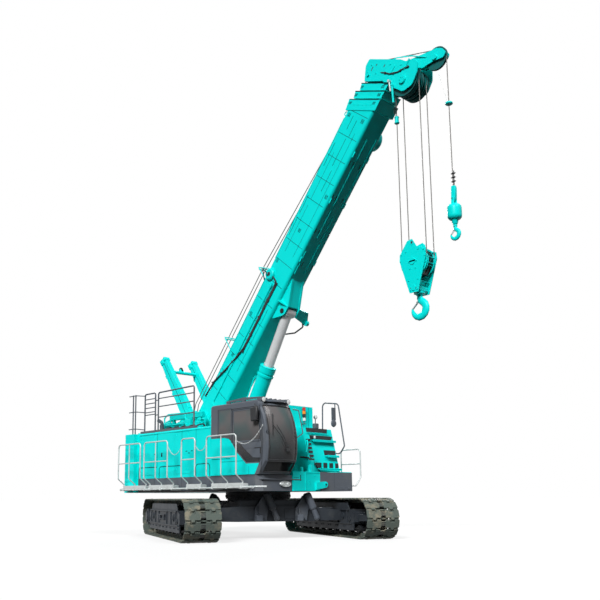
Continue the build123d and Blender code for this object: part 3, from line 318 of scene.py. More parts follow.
link = bmesh.new()
FORE = 0.096
AFT = -0.096
shoe = [(AFT, -0.385), (AFT, -0.275), (AFT - 0.046, -0.262), (AFT - 0.046, -0.198), (AFT, -0.185),
        (AFT, -0.065), (AFT + 0.04, -0.055), (AFT + 0.04, 0.055), (AFT, 0.065), (AFT, 0.185),
        (AFT - 0.046, 0.198), (AFT - 0.046, 0.262), (AFT, 0.275), (AFT, 0.385), (AFT + 0.02, 0.405),
        (FORE - 0.02, 0.405), (FORE, 0.385), (FORE, 0.295), (FORE - 0.058, 0.285), (FORE - 0.058, 0.175),
        (FORE, 0.165), (FORE, 0.065), (FORE - 0.04, 0.055), (FORE - 0.04, -0.055), (FORE, -0.065),
        (FORE, -0.165), (FORE - 0.058, -0.175), (FORE - 0.058, -0.285), (FORE, -0.295), (FORE, -0.385),
        (FORE - 0.02, -0.405), (AFT + 0.02, -0.405)]
flip = moved(0, 0, -0.045) @ Matrix.Rotation(math.pi, 4, "X")
plate(link, shoe, 0.030, flip, edge=0.006)
for y in (-0.34, -0.12, 0.12, 0.34):
    block(link, (-0.055, 0.055), about(y, 0.028), (-0.0765, -0.07), edge=0.004)
for y in (-0.108, 0.108):
    block(link, (-0.098, 0.098), about(y, 0.024), (-0.045, 0.043), edge=0.006)
for hand in (-1, 1):
    block(link, (FORE - 0.07, FORE + 0.044), (hand * 0.145, hand * 0.395), (-0.044, -0.036), edge=0.003)
stud(link, -PITCH / 2, (-0.138, 0.138), 0, 0.024, sides=8)
for x in (-0.03, 0.03):
    for y in (-0.108, 0.108):
        stud(link, x, y, (-0.074, -0.079), 0.013, sides=6)
link_mesh = bpy.data.meshes.new("track_link")
link.to_mesh(link_mesh)
link.free()


def repeat(bm, mesh, at):
    """Adds a copy of a small mesh at a place."""
    old = set(bm.verts)
    bm.from_mesh(mesh)
    bmesh.ops.transform(bm, matrix=at, verts=[v for v in bm.verts if v not in old])


# The black is rubber's own colour. It is also used as painted shade in the step recesses and in the louvres
# by the cab.
black = finish("black_rubber_and_painted_shade", (0.010, 0.011, 0.013), (0.022, 0.023, 0.026), 5.0, 0.4, 0.5, grain=160,
               depth=0.15, shine=0.35)
for side, hand in (("left", 1), ("right", -1)):
    lane = UNDER @ moved(0, hand * LANE, 0)
    parts = []
    for i in range(LINKS):
        before, after = chain_pin(i * PITCH), chain_pin((i + 1) * PITCH)
        along = after - before
        tilt = Matrix.Rotation(-math.atan2(along.z, along.x), 4, "Y")
        parts.append(lane @ Matrix.Translation((before + after) / 2) @ tilt)
    bm = bmesh.new()
    for at in parts:
        repeat(bm, link_mesh, at)
    chain = fresh(f"track_chain_{side}", track_steel, "undercarriage", bm)
    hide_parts(f"track_{side}")
    bm = bmesh.new()
    for at in parts:
        for x in (-0.042, -0.004, 0.034):
            block(bm, about(x, 0.010), (-0.052, 0.052), (-0.0765, -0.074), at)
    fresh(f"track_bolt_slots_{side}", black, "undercarriage", bm)

# Track frames: welded boxes in slate paint, worn dull and darkened as painted shade under the machine.
# Flanges, ribs and a sloped guard plate are welded along both walls, with a folding step on two brackets and
# a bolted cap over each roller.
slate = finish("slate_paint", (0.078, 0.091, 0.112), (0.110, 0.118, 0.128), 1.6, 0.42, 0.46, grain=90,
               depth=0.08, shine=0.3)
# A darker copy of the slate paint: painted shade for the undercarriage, which stands in the machine's shadow.
slate_painted_shade = finish("slate_paint_painted_shade", (0.020, 0.025, 0.032), (0.042, 0.046, 0.049), 3.0, 0.38, 0.58,
                    grain=120, depth=0.2, shine=0.3)
dress(slate_painted_shade, "track_frame_left", "track_frame_right")
WALL = 0.345
roller_steel = finish("roller_steel", (0.020, 0.022, 0.025), (0.050, 0.049, 0.047), 9.0, 0.42, 0.55,
                      metal=0.5, grain=80, depth=0.2)
dress(roller_steel, "track_wheels_left", "track_wheels_right")
for side, hand in (("left", 1), ("right", -1)):
    lane = UNDER @ moved(0, hand * LANE, 0)
    bm = bmesh.new()
    for face in (-1, 1):
        block(bm, (-1.74, 1.74), (face * (WALL - 0.02), face * 0.385), (0.655, 0.684), lane, 0.005)
        block(bm, (-1.90, 1.90), (face * (WALL - 0.02), face * 0.378), (0.335, 0.362), lane, 0.005)
        plate(bm, [(-1.72, 0.678), (1.72, 0.678), (1.60, 0.84), (-1.60, 0.84)], 0.014,
              lane @ moved(0, 0.336 if face > 0 else -0.322, 0) @ SIDE, 0.004)
        for x in (-1.62, -1.05, -0.52, 0.52, 1.05, 1.62):
            block(bm, about(x, 0.014), (face * (WALL - 0.01), face * 0.374), (0.36, 0.66), lane, 0.003)
        for x in (-0.26, 0.26):
            block(bm, about(x, 0.03), (face * (WALL - 0.01), face * 0.392), (0.44, 0.56), lane, 0.006)
        block(bm, (-0.34, 0.34), (face * 0.352, face * 0.396), (0.555, 0.578), lane, 0.004)
        block(bm, (-0.24, 0.24), (face * 0.352, face * 0.396), (0.455, 0.475), lane, 0.004)
        for x in (-1.335, 1.335):
            stud(bm, x, (face * WALL, face * 0.372), 0.52, 0.085, 20, lane)
            stud(bm, x, (face * 0.372, face * 0.384), 0.52, 0.05, 6, lane)
        for i in range(9):
            x = -1.873 + 3.746 * i / 8
            for step in (-0.05, 0.05):
                stud(bm, x + step, (face * (WALL - 0.01), face * 0.362), 0.285, 0.018, 6, lane)
        for x in (-1.75, 1.75):
            stud(bm, x, (face * (WALL - 0.01), face * 0.366), 0.45, 0.06, 16, lane)
            stud(bm, x, (face * 0.366, face * 0.378), 0.45, 0.03, 6, lane)
    fresh(f"track_frame_flanges_{side}", slate_painted_shade, "undercarriage", bm)

# Carbody and slewing ring: a welded box with two cross axles, and a geared ring held by bolts.
# Cover plates close the axle boxes, and short pipes lead from the middle to each track.
# The carbody and its axle covers take the darker slate: painted shade.
dress(slate_painted_shade, "carbody")
dress(roller_steel, "slewing_ring")
bm = bmesh.new()
RING_BOLTS = 48
for i in range(RING_BOLTS):
    turn = Matrix.Rotation(math.tau * i / RING_BOLTS, 4, "Z")
    stud(bm, 0.812, 0, (0.945, 0.969), 0.016, 6, turn)
    block(bm, (0.824, 0.842), (-0.03, 0.03), (0.985, 1.045), turn, 0.006)
fresh("ring_bolts", roller_steel, "undercarriage", bm)
bm = bmesh.new()
for x in (-1.0, 1.0):
    for y in (-1.30, 1.30):
        block(bm, about(x, 0.17), about(y, 0.28), (0.70, 0.725), UNDER, 0.006)
        for step in (-0.2, 0.2):
            for px in about(x, 0.12):
                stud(bm, px, y + step, (0.72, 0.737), 0.014, 6, UNDER)
    for face in (-1, 1):
        plane = x + face * 0.2305
        for y in ((-0.62, -0.34), (0.28, 0.58)):
            block(bm, (plane, plane + face * 0.012), y, (0.46, 0.70), UNDER, 0.004)
fresh("axle_covers", slate_painted_shade, "undercarriage", bm)


def tube(bm, points, radius, bend, sides=8, at=Matrix()):
    """A bent tube: straight runs between points, with a rounded bend at each inner point."""
    points = [at @ Vector(p) for p in points]
    way = (points[1] - points[0]).normalized()
    start = Matrix.Translation(points[0]) @ way.to_track_quat("Z", "Y").to_matrix().to_4x4()
    ring = bmesh.ops.create_circle(bm, cap_ends=True, radius=radius, segments=sides, matrix=start)
    edges = list({e for v in ring["verts"] for e in v.link_edges})
    here = points[0]
    for i in range(1, len(points) - 1):
        before = (points[i] - points[i - 1]).normalized()
        after = (points[i + 1] - points[i]).normalized()
        turn = before.angle(after)
        stop = points[i] - before * bend * math.tan(turn / 2)
        grown = bmesh.ops.extrude_edge_only(bm, edges=edges)["geom"]
        edges = [g for g in grown if isinstance(g, bmesh.types.BMEdge) and len(g.link_faces) == 1]
        bmesh.ops.translate(bm, verts=[g for g in grown if isinstance(g, bmesh.types.BMVert)],
                            vec=stop - here)
        axis = before.cross(after).normalized()
        centre = stop + axis.cross(before) * bend
        verts = list({v for e in edges for v in e.verts})
        spun = bmesh.ops.spin(bm, geom=verts + edges, cent=centre, axis=axis, angle=turn, steps=4)
        edges = [g for g in spun["geom_last"] if isinstance(g, bmesh.types.BMEdge)]
        here = points[i] + after * bend * math.tan(turn / 2)
    grown = bmesh.ops.extrude_edge_only(bm, edges=edges)["geom"]
    edges = [g for g in grown if isinstance(g, bmesh.types.BMEdge) and len(g.link_faces) == 1]
    bmesh.ops.translate(bm, verts=[g for g in grown if isinstance(g, bmesh.types.BMVert)],
                        vec=points[-1] - here)
    bmesh.ops.holes_fill(bm, edges=edges, sides=0)


bm = bmesh.new()
for x in (-0.72, -0.66, 0.60, 0.66):
    for hand in (-1, 1):
        tube(bm, [(x, hand * 0.75, 0.86), (x, hand * 0.95, 0.90), (x, hand * 1.45, 0.60),
                  (x, hand * 1.77, 0.58)], 0.017, 0.06, at=UNDER)
fresh("travel_hoses", black, "undercarriage", bm)


# Levelling jacks: smooth two-stage barrels with domed ends, folded back on welded brackets at the
# faces of the axles. The barrels are turned, and painted slate.
def turned(bm, profile, at=Matrix(), steps=24):
    """A part turned about its own Z, from (radius, height) steps, and then put in its place."""
    old = set(bm.verts)
    verts = [bm.verts.new((r, 0, h)) for r, h in profile]
    edges = [bm.edges.new(pair) for pair in zip(verts, verts[1:])]
    bmesh.ops.spin(bm, geom=verts + edges, cent=(0, 0, 0), axis=(0, 0, 1), angle=math.tau, steps=steps,
                   use_merge=True)
    made = [v for v in bm.verts if v not in old]
    bmesh.ops.remove_doubles(bm, verts=made, dist=2e-5)
    bmesh.ops.transform(bm, matrix=at, verts=[v for v in bm.verts if v not in old])


bm = bmesh.new()
for x, y, turn in ((1.2303, -0.2, 0), (1.2303, 0.83, 0), (-1.2303, 0.2, 180), (-1.2303, -0.83, 180)):
    at = UNDER @ moved(x, y, 0) @ Matrix.Rotation(math.radians(turn), 4, "Z")
    plate(bm, [(-0.28, 0.41), (0.01, 0.41), (0.06, 0.70), (0.06, 1.01), (-0.09, 1.01), (-0.28, 0.70)], 0.06,
          at @ FRONT, edge=0.006)
    block(bm, (0.055, 0.20), (-0.28, -0.12), (0.41, 0.56), at, 0.012)
    plate(bm, [(0.055, 0.56), (0.16, 0.56), (0.055, 0.80)], 0.02, at @ moved(0, -0.19, 0) @ SIDE)
    for y_bolt, z_bolt in ((-0.24, 0.45), (-0.24, 0.66), (-0.04, 0.45), (0.02, 0.66)):
        stud(bm, (0.058, 0.074), y_bolt, z_bolt, 0.02, 6, at)
    stud(bm, (0.03, 0.06), 0, 1.0, 0.075, 20, at)
    lean = moved(0.15, 0, 1.04) @ Matrix.Rotation(math.radians(180 + 23), 4, "X")
    turned(bm, [(0, -0.045), (0.045, -0.042), (0.074, -0.022), (0.088, 0.012), (0.088, 0.30), (0.094, 0.305),
                (0.094, 0.345), (0.088, 0.350), (0.088, 0.365), (0.066, 0.385), (0.066, 0.575), (0.072, 0.58),
                (0.072, 0.615), (0.060, 0.645), (0.035, 0.665), (0, 0.670)], at @ lean, steps=28)
jacks = fresh("levelling_jack_barrels", slate, "undercarriage", bm)
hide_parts("levelling_jacks")

# Revolving frame: thick welded plates in the machine's bright turquoise paint. Its front plate has a
# lug with an eye, a slot and a raised edge, and flanges stiffen the tops of the two cheeks.
turquoise = finish("turquoise_paint", (0.0, 0.740, 0.705), (0.0, 0.690, 0.662), 0.9, 0.40, 0.36, grain=140,
                   depth=0.02, shine=0.12)
dress(turquoise, "revolving_frame")
# Dark teal for panel joints. The same colour is painted shade in the boom's grooves, along its weld seams and
# collar edges, and in the mast's grooves.
seam = finish("panel_gap", (0.0, 0.022, 0.024), (0.0, 0.012, 0.014), 8.0, 0.5, 0.6, grain=90, depth=0.05,
              shine=0.1)
silver = finish("silver_paint", (0.540, 0.575, 0.575), (0.430, 0.455, 0.450), 6.0, 0.38, 0.38, metal=0.25,
                grain=150, depth=0.08, shine=0.4)
bm = bmesh.new()
cheek_top = [(0.20, 1.70), (-0.75, 2.10), (-1.45, 2.90), (-1.65, 3.23), (-1.80, 3.29), (-2.50, 3.29),
             (-2.85, 3.15), (-3.11, 2.66)]
for hand in (-1, 1):
    for (x0, z0), (x1, z1) in zip(cheek_top, cheek_top[1:]):
        length = math.hypot(x1 - x0, z1 - z0)
        at = moved(x0, 0, z0) @ Matrix.Rotation(-math.atan2(z1 - z0, x1 - x0), 4, "Y")
        block(bm, (0, length), (hand * 0.334, hand * 0.404), (-0.012, 0.012), at, 0.003)
block(bm, (1.81, 1.828), (-0.10, 0.385), (1.545, 1.582), edge=0.004)
block(bm, (1.815, 1.834), (-0.12, -0.10), (1.13, 1.58), edge=0.004)
stud(bm, (1.86, 1.872), 0.553, 1.278, 0.052, 20)
for y, z in ((0.02, 1.30), (0.02, 1.36), (0.20, 1.48), (0.30, 1.22)):
    stud(bm, (1.815, 1.832), y, z, 0.014, 6)
fresh("frame_flanges", turquoise, "upper", bm)
bm = bmesh.new()
stud(bm, (1.858, 1.875), 0.553, 1.278, 0.026, 16)
block(bm, (1.819, 1.8215), (-0.30, -0.27), (1.36, 1.50))
block(bm, (1.819, 1.8215), (-0.52, -0.34), (1.435, 1.445))
fresh("frame_eye", seam, "upper", bm)

# Valves and pipes: a hydraulic block beside each cheek, with short bent pipes and hoses, on the deck
# between the houses. The pipes are painted with the frame, and the hoses are black rubber.
bm = bmesh.new()
for x, z, wide, high in ((-3.02, 2.80, 0.30, 0.26), (-2.55, 2.78, 0.34, 0.20), (-2.05, 2.80, 0.28, 0.30),
                         (-1.60, 2.78, 0.22, 0.22)):
    block(bm, (x, x + wide), (-0.86, -0.72), (2.728, z + high), edge=0.01)
    for i in range(4):
        px = x + 0.04 + i * (wide - 0.08) / 3
        crest = z + high + 0.05 + 0.02 * (i % 2)
        tube(bm, [(px, -0.79, z + high - 0.01), (px, -0.79, crest), (px + 0.10, -0.70, crest),
                  (px + 0.10, -0.69, 2.72)], 0.014, 0.03)
        stud(bm, px, -0.79, (z + high, z + high + 0.03), 0.022, 6)
tube(bm, [(-3.02, -0.80, 2.95), (-3.06, -0.80, 3.22), (-2.86, -0.80, 3.30), (-2.10, -0.80, 3.28),
          (-2.04, -0.80, 3.05)], 0.022, 0.08)
tube(bm, [(-3.05, -0.90, 2.72), (-3.05, -0.90, 2.98), (-1.90, -0.90, 2.98), (-1.86, -0.90, 2.72)], 0.02, 0.07)
block(bm, (-2.82, -1.36), (-0.80, -0.68), (3.12, 3.27), edge=0.012)
for x in (-2.70, -2.05, -1.48):
    block(bm, (x, x + 0.05), (-0.78, -0.70), (2.72, 3.13), edge=0.006)
for i in range(8):
    stud(bm, -2.70 + i * 0.17, -0.74, (3.27, 3.31), 0.03, 8)
fresh("valves_and_pipes", turquoise, "upper", bm)
bm = bmesh.new()
for i in range(5):
    x = -2.92 + i * 0.36
    tube(bm, [(x, -0.96, 2.72), (x, -0.96, 2.84), (x + 0.20, -0.92, 2.90), (x + 0.28, -0.84, 2.92),
              (x + 0.30, -0.80, 2.80)], 0.019, 0.05)
fresh("valve_hoses", black, "upper", bm)

# Decks and walkway: folded slate decks in three lengths, bolted under the houses, and ribbed silver
# planks with a toe board, on brackets that a long silver tube ties together.
dress(slate, "side_decks")
dress(silver, "walkway", "handrails")
bm = bmesh.new()
for x in (-2.353, -1.142, -0.02):
    block(bm, about(x, 0.004), (-1.6015, -1.59), (1.13, 1.487))
block(bm, (-3.10, 1.64), (-1.6012, -1.58), (1.484, 1.4895))
for i in range(24):
    x = -3.02 + i * 0.2
    stud(bm, x, (-1.597, -1.612), 1.148, 0.013, 6)
for y in both(1.585, 1.6035):
    block(bm, (-3.08, 1.30), y, (1.125, 1.165))
fresh("deck_seams", black, "upper", bm)
bm = bmesh.new()
for x0, x1 in ((-3.43, -2.37), (-2.19, -1.15), (-0.56, -0.016), (0.43, 1.51)):
    block(bm, (x0 - 0.02, x1 + 0.02), (-1.880, -1.868), (1.222, 1.306), edge=0.003)
    ribs = int((x1 - x0) / 0.05)
    for i in range(ribs + 1):
        x = x0 + (x1 - x0) * i / ribs
        block(bm, about(x, 0.007), (-1.862, -1.715), (1.288, 1.296))
for x in (-3.405, -2.90, -2.395, -2.165, -1.67, -1.175, -0.535, -0.041, 0.455, 0.97, 1.485):
    stud(bm, x, -1.905, (1.196, 1.244), 0.014, 8)
    block(bm, about(x, 0.022), (-1.912, -1.868), (1.172, 1.228), edge=0.006)
for x in (-3.56, 1.86):
    stud(bm, about(x, 0.012), -1.870, 1.20, 0.034, 12)
tube(bm, [(1.52, -1.87, 1.216), (1.90, -1.80, 1.216), (2.06, -1.62, 1.216)], 0.018, 0.1)
fresh("walkway_ribs", silver, "upper", bm)

# Chains: light plated chains close the gaps between the handrail frames. Each is hooked over two
# posts and hangs slack, with every second link turned a quarter round.
LINK_RUN = 0.026
bm = bmesh.new()
ring = bmesh.ops.create_circle(bm, radius=0.0034, segments=5,
                               matrix=moved(0.009, 0, 0) @ Matrix.Rotation(math.pi / 2, 4, "X"))
edges = list({e for v in ring["verts"] for e in v.link_edges})
bmesh.ops.spin(bm, geom=ring["verts"] + edges, cent=(0, 0, 0), axis=(0, 0, 1), angle=math.tau, steps=8,
               use_merge=True)
bmesh.ops.scale(bm, verts=bm.verts, vec=(1.75, 1, 1))
chain_link = bpy.data.meshes.new("chain_link")
bm.to_mesh(chain_link)
bm.free()
bm = bmesh.new()
for start, end, sag in (((-1.15, -2.05, 2.30), (-0.56, -2.05, 2.24), 0.23),
                        ((-0.016, -2.05, 2.24), (0.43, -2.05, 2.24), 0.15),
                        ((1.51, -2.05, 2.26), (1.95, -1.62, 2.62), 0.22)):
    start, end = Vector(start), Vector(end)
    reach = (end - start).length
    links = int(math.hypot(reach, 1.6 * sag) / LINK_RUN)
    spots = [start.lerp(end, i / links) - Vector((0, 0, 4 * sag * (i / links) * (1 - i / links)))
             for i in range(links + 1)]
    for i in range(links):
        turn = (spots[i + 1] - spots[i]).to_track_quat("X", "Z").to_matrix().to_4x4()
        twist = Matrix.Rotation(math.pi / 2 * (i % 2), 4, "X")
        repeat(bm, chain_link, Matrix.Translation((spots[i] + spots[i + 1]) / 2) @ turn @ twist)
fresh("rail_chains", silver, "upper", bm)

# Machinery houses: folded sheet in turquoise, with inset lower access panels whose corners are round,
# flush handles and a rain lip along the roof. Rubber seals fill the gaps of the panels.
dress(turquoise, "house_right", "house_left", "house_door_rear", "house_door_front", "air_box")
engine_paint = finish("engine_paint", (0.05, 0.055, 0.06), (0.09, 0.088, 0.08), 7.0, 0.4, 0.5, grain=70,
                      depth=0.2)
dress(engine_paint, "engine")
bm = bmesh.new()
for points, bend in (([(-3.09, 1.50), (-3.09, 1.790), (-2.24, 1.786)], 0.02),
                     ([(-2.131, 1.50), (-2.131, 1.790), (-1.16, 1.795), (-1.16, 1.50)], 0.075),
                     ([(-0.551, 1.50), (-0.551, 1.803), (0.004, 1.812), (0.004, 1.50)], 0.09)):
    tube(bm, [(x, -1.6, z) for x, z in points], 0.010, bend, sides=6)
for x in (-2.235, -1.142, -0.55):
    block(bm, about(x, 0.004), (-1.6025, -1.595), (1.80, 2.70))
block(bm, (-2.06, -2.00), (-1.604, -1.59), (2.05, 2.16), edge=0.006)
for x, z in ((-2.352, 2.132), (-0.946, 2.148), (-0.723, 2.148), (-0.84, 2.10)):
    block(bm, about(x, 0.035), (-1.603, -1.592), about(z, 0.009))
for i in range(9):
    for z in ((2.05, 2.09), (2.15, 2.19), (2.25, 2.29)):
        block(bm, (-3.0 + i * 0.2, -2.86 + i * 0.2), (1.597, 1.6045), z)
for x in (-2.4, -1.5, -0.6, 0.3):
    block(bm, about(x, 0.004), (1.595, 1.6025), (1.50, 2.70))
for x in (-2.2, -1.3, -0.4, 0.5):
    block(bm, (x, x + 0.055), (1.59, 1.604), (1.88, 2.0), edge=0.006)
block(bm, (0.536, 0.5425), (1.361, 1.369), (2.74, 3.365))
block(bm, (-0.30, -0.292), (0.6185, 1.5215), (2.74, 3.372))
fresh("panel_gaps", seam, "upper", bm)
bm = bmesh.new()
block(bm, (-3.10, 0.04), (-1.612, -1.585), (2.672, 2.690), edge=0.004)
for x in (-2.98, -2.35, -1.38, -0.88):
    for z in ((2.55, 2.62), (1.66, 1.73)):
        stud(bm, x, -1.604, z, 0.012, 8)
for x in (-2.9, -2.1, -1.3, -0.5, 0.3):
    block(bm, (x, x + 0.09), (1.598, 1.612), (2.66, 2.70), edge=0.004)
for x in (-0.95, -0.55, -0.15, 0.25):
    block(bm, (x, x + 0.26), (1.518, 1.528), (2.86, 3.24), edge=0.004)
    for i in range(6):
        block(bm, (x + 0.02, x + 0.24), (1.526, 1.536), (2.89 + i * 0.055, 2.91 + i * 0.055))
fresh("house_lips", turquoise, "upper", bm)
bm = bmesh.new()
for x in (-2.6, -1.9, -1.2):
    block(bm, (x, x + 0.5), (-1.42, -0.82), (2.728, 2.748), edge=0.006)
    for i in range(7):
        block(bm, (x + 0.03, x + 0.47), (-1.38 + i * 0.075, -1.345 + i * 0.075), (2.746, 2.758))
stud(bm, -2.75, -1.1, (2.72, 2.98), 0.062, 20)
tube(bm, [(-2.75, -1.1, 2.95), (-2.75, -1.1, 3.05), (-2.92, -1.1, 3.12)], 0.05, 0.05, sides=16)
fresh("roof_vents", slate, "upper", bm)

# Counterweight: cast slabs in turquoise, stacked and bolted behind the houses, with lifting eyes on
# top and two tail lamps let into the rear.
dress(turquoise, "counterweight")
bm = bmesh.new()
for y in (-1.25, 1.25):
    for x in (-3.45, -3.60):
        block(bm, about(x, 0.015), about(y, 0.06), (2.72, 2.80), edge=0.008)
    stud(bm, (-3.62, -3.43), y, 2.78, 0.02, 12)
for hand in (-1, 1):
    for z in ((2.30, 2.36), (1.42, 1.48)):
        block(bm, (-3.66, -3.28), (hand * 1.688, hand * 1.700), z, edge=0.004)
fresh("counterweight_eyes", turquoise, "upper", bm)
bm = bmesh.new()
for y in both(1.686, 1.6925):
    block(bm, (-3.68, -3.23), y, (1.934, 1.942))
fresh("counterweight_joint", seam, "upper", bm)
lens_red = finish("lens_red", (0.55, 0.02, 0.015), (0.42, 0.01, 0.01), 30.0, 0.4, 0.18, grain=200, depth=0.1,
                  shine=0.5)
bm = bmesh.new()
for y in (-0.95, 0.95):
    at = Matrix.Rotation(-math.asin(y / 4.07), 4, "Z")
    block(bm, (-4.076, -4.05), (-0.09, 0.09), (1.62, 1.70), at, 0.006)
fresh("tail_lamps", lens_red, "upper", bm)

# Left front corner: three recesses, darkened inside by black blocks of painted shade, are let into the
# house's slope, and carry punched turquoise treads. The slate tank below has a louvre and two bolted catches.
dress(slate, "front_tank", "mirror_hoop", "roof_rails")
bm = bmesh.new()
for z0, y0, y1, x1 in ((1.67, 0.74, 1.58, 1.50), (2.01, 1.14, 1.58, 1.42), (2.40, 0.72, 1.58, 1.31)):
    block(bm, (1.0, x1), (y0, y1), (z0 - 0.004, z0 + 0.014), edge=0.003)
    for i in range(int((y1 - y0) / 0.09)):
        y = y0 + 0.045 + i * 0.09
        stud(bm, x1 - 0.10, y, (z0 + 0.01, z0 + 0.024), 0.026, 8)
    block(bm, (x1 - 0.016, x1), (y0, y1), about(z0, 0.03), edge=0.003)
for y in (0.94, 1.16, 1.38):
    block(bm, (1.36, 1.43), about(y, 0.01), (1.685, 1.835), edge=0.003)
block(bm, (1.18, 1.20), (0.62, 1.42), (2.60, 2.615), edge=0.003)
tube(bm, [(1.22, 0.582, 2.40), (1.30, 0.52, 2.30), (1.36, 0.40, 2.08)], 0.022, 0.05)
block(bm, (1.40, 1.815), (0.986, 1.58), (1.578, 1.597), edge=0.006)
fresh("step_treads", turquoise, "upper", bm)
bm = bmesh.new()
for y in (1.137, 1.415):
    block(bm, (1.812, 1.8235), about(y, 0.014), (1.345, 1.445), edge=0.005)
for i in range(6):
    block(bm, (1.814, 1.8245), (1.03 + i * 0.047, 1.06 + i * 0.047), (1.165, 1.225), edge=0.003)
block(bm, (1.812, 1.832), (1.40, 1.50), (1.16, 1.22), edge=0.006)
fresh("tank_vents", slate, "upper", bm)
# Black blocks in the three recesses and beside the top step: painted shade.
bm = bmesh.new()
block(bm, (1.105, 1.16), (0.64, 1.40), (2.60, 2.73), edge=0.006)
for z0, z1, y0, depth in ((1.67, 1.84, 0.74, 1.38), (2.01, 2.17, 1.14, 1.29), (2.40, 2.545, 0.72, 1.18)):
    block(bm, (1.002, depth), (y0 + 0.004, 1.576), (z0 + 0.03, z1 - 0.003), edge=0.004)
tube(bm, [(1.24, 0.577, 2.10), (1.32, 0.60, 1.95), (1.40, 0.70, 1.78), (1.40, 0.834, 1.62)], 0.016, 0.05)
fresh("step_shadow", black, "upper", bm)

# Space between the cab and the left house: the swing motor's cover and its black rubber hoses are fixed to
# the floor of the revolving frame, before a panel with pressed louvres, whose black slats are painted shade.
# Cast and sheet steel.
bm = bmesh.new()
# Black louvre slats: painted shade in the louvres' openings.
for i in range(7):
    block(bm, (1.416, 1.424), (0.56, 0.70), (1.78 + i * 0.10, 1.84 + i * 0.10),
          moved(-0.045 - i * 0.0257, 0, 0))
for radius, *run in (
        (0.022, (1.60, -0.50, 1.49), (1.62, -0.50, 1.78), (1.50, -0.46, 1.98), (1.20, -0.46, 2.02)),
        (0.018, (1.66, -0.46, 1.49), (1.68, -0.46, 1.70), (1.56, -0.42, 1.88), (1.20, -0.42, 1.92)),
        (0.020, (1.50, 0.43, 1.56), (1.52, 0.43, 1.78), (1.40, 0.45, 1.95), (1.10, 0.46, 1.98))):
    tube(bm, run, radius, 0.08)
fresh("front_hoses_and_louvre_shade", black, "upper", bm)
bm = bmesh.new()
block(bm, (1.44, 1.56), (0.36, 0.48), (1.56, 1.86), edge=0.012)
block(bm, (1.45, 1.55), (0.36, 0.62), (1.86, 1.88), edge=0.004)
turned(bm, [(0, 0), (0.055, 0), (0.055, 0.16), (0.045, 0.175), (0, 0.18)], moved(1.66, 0.20, 1.58))
turned(bm, [(0, 0), (0.040, 0), (0.040, 0.10), (0.03, 0.112), (0, 0.115)], moved(1.68, -0.10, 1.58))
for y in (-0.36, -0.30):
    block(bm, (1.60, 1.72), about(y, 0.006), (1.575, 1.72), edge=0.003)
stud(bm, 1.66, (-0.38, -0.28), 1.67, 0.02, 12)
fresh("front_fittings", turquoise, "upper", bm)

# Lamps: two work lamps with clear lenses, a small box, the round back of a mirror and a tower of four
# coloured signal lenses. The bodies are slate castings, on steel posts that are bolted to the house.
lamp_glass = finish("lamp_glass", (0.72, 0.74, 0.74), (0.60, 0.62, 0.62), 40.0, 0.4, 0.12, metal=0.2,
                    grain=180, depth=0.2, shine=0.6)
bm = bmesh.new()
for x, y, z, r in ((1.20, 0.87, 2.492, 0.045), (1.08, 1.06, 3.03, 0.05)):
    turned(bm, [(0, -0.05), (r * 0.7, -0.045), (r, -0.01), (r, 0.02), (r * 0.9, 0.016), (0, 0.016)],
           moved(x, y, z) @ FRONT)
    stud(bm, x - 0.01, y, (z - 0.10, z - r + 0.01), 0.012, 8)
stud(bm, 1.07, 1.06, (2.72, 2.99), 0.012, 8)
block(bm, (1.00, 1.11), (1.011, 1.154), (2.735, 2.870), edge=0.012)
turned(bm, [(0, 0), (0.085, 0), (0.10, 0.012), (0.085, 0.04), (0.04, 0.055), (0, 0.058)],
       moved(1.15, 1.66, 2.90) @ FRONT)
fresh("lamp_bodies", slate, "upper", bm)
bm = bmesh.new()
for x, y, z, r in ((1.216, 0.87, 2.492, 0.040), (1.096, 1.06, 3.03, 0.044)):
    turned(bm, [(0, -0.002), (r, -0.002), (r, 0.004), (r * 0.6, 0.012), (0, 0.015)], moved(x, y, z) @ FRONT)
fresh("lamp_lenses", lamp_glass, "upper", bm)
lens_amber = finish("lens_amber", (0.85, 0.24, 0.01), (0.70, 0.17, 0.01), 30.0, 0.4, 0.18, grain=200,
                    depth=0.1, shine=0.5)
for name, paint, low, high, slot in (("signal_red", lens_red, 3.245, 3.330, "trim"),
                                     ("signal_amber", lens_amber, 3.155, 3.240, "trim"),
                                     ("signal_black", black, 3.065, 3.150, "trim"),
                                     ("signal_clear", lamp_glass, 2.975, 3.060, "glass")):
    bm = bmesh.new()
    turned(bm, [(0, low), (0.040, low), (0.045, low + 0.006), (0.045, high - 0.006), (0.040, high),
                (0, high)], moved(0.60, 1.13, 0), steps=18)
    fresh(name, paint, "upper", bm)
bm = bmesh.new()
stud(bm, 0.60, 1.13, (2.90, 3.31), 0.012, 8)
block(bm, (0.535, 0.62), (1.08, 1.18), (2.89, 2.905), edge=0.003)
block(bm, (0.560, 0.64), (1.10, 1.16), (3.325, 3.34), edge=0.004)
fresh("signal_post", slate, "upper", bm)

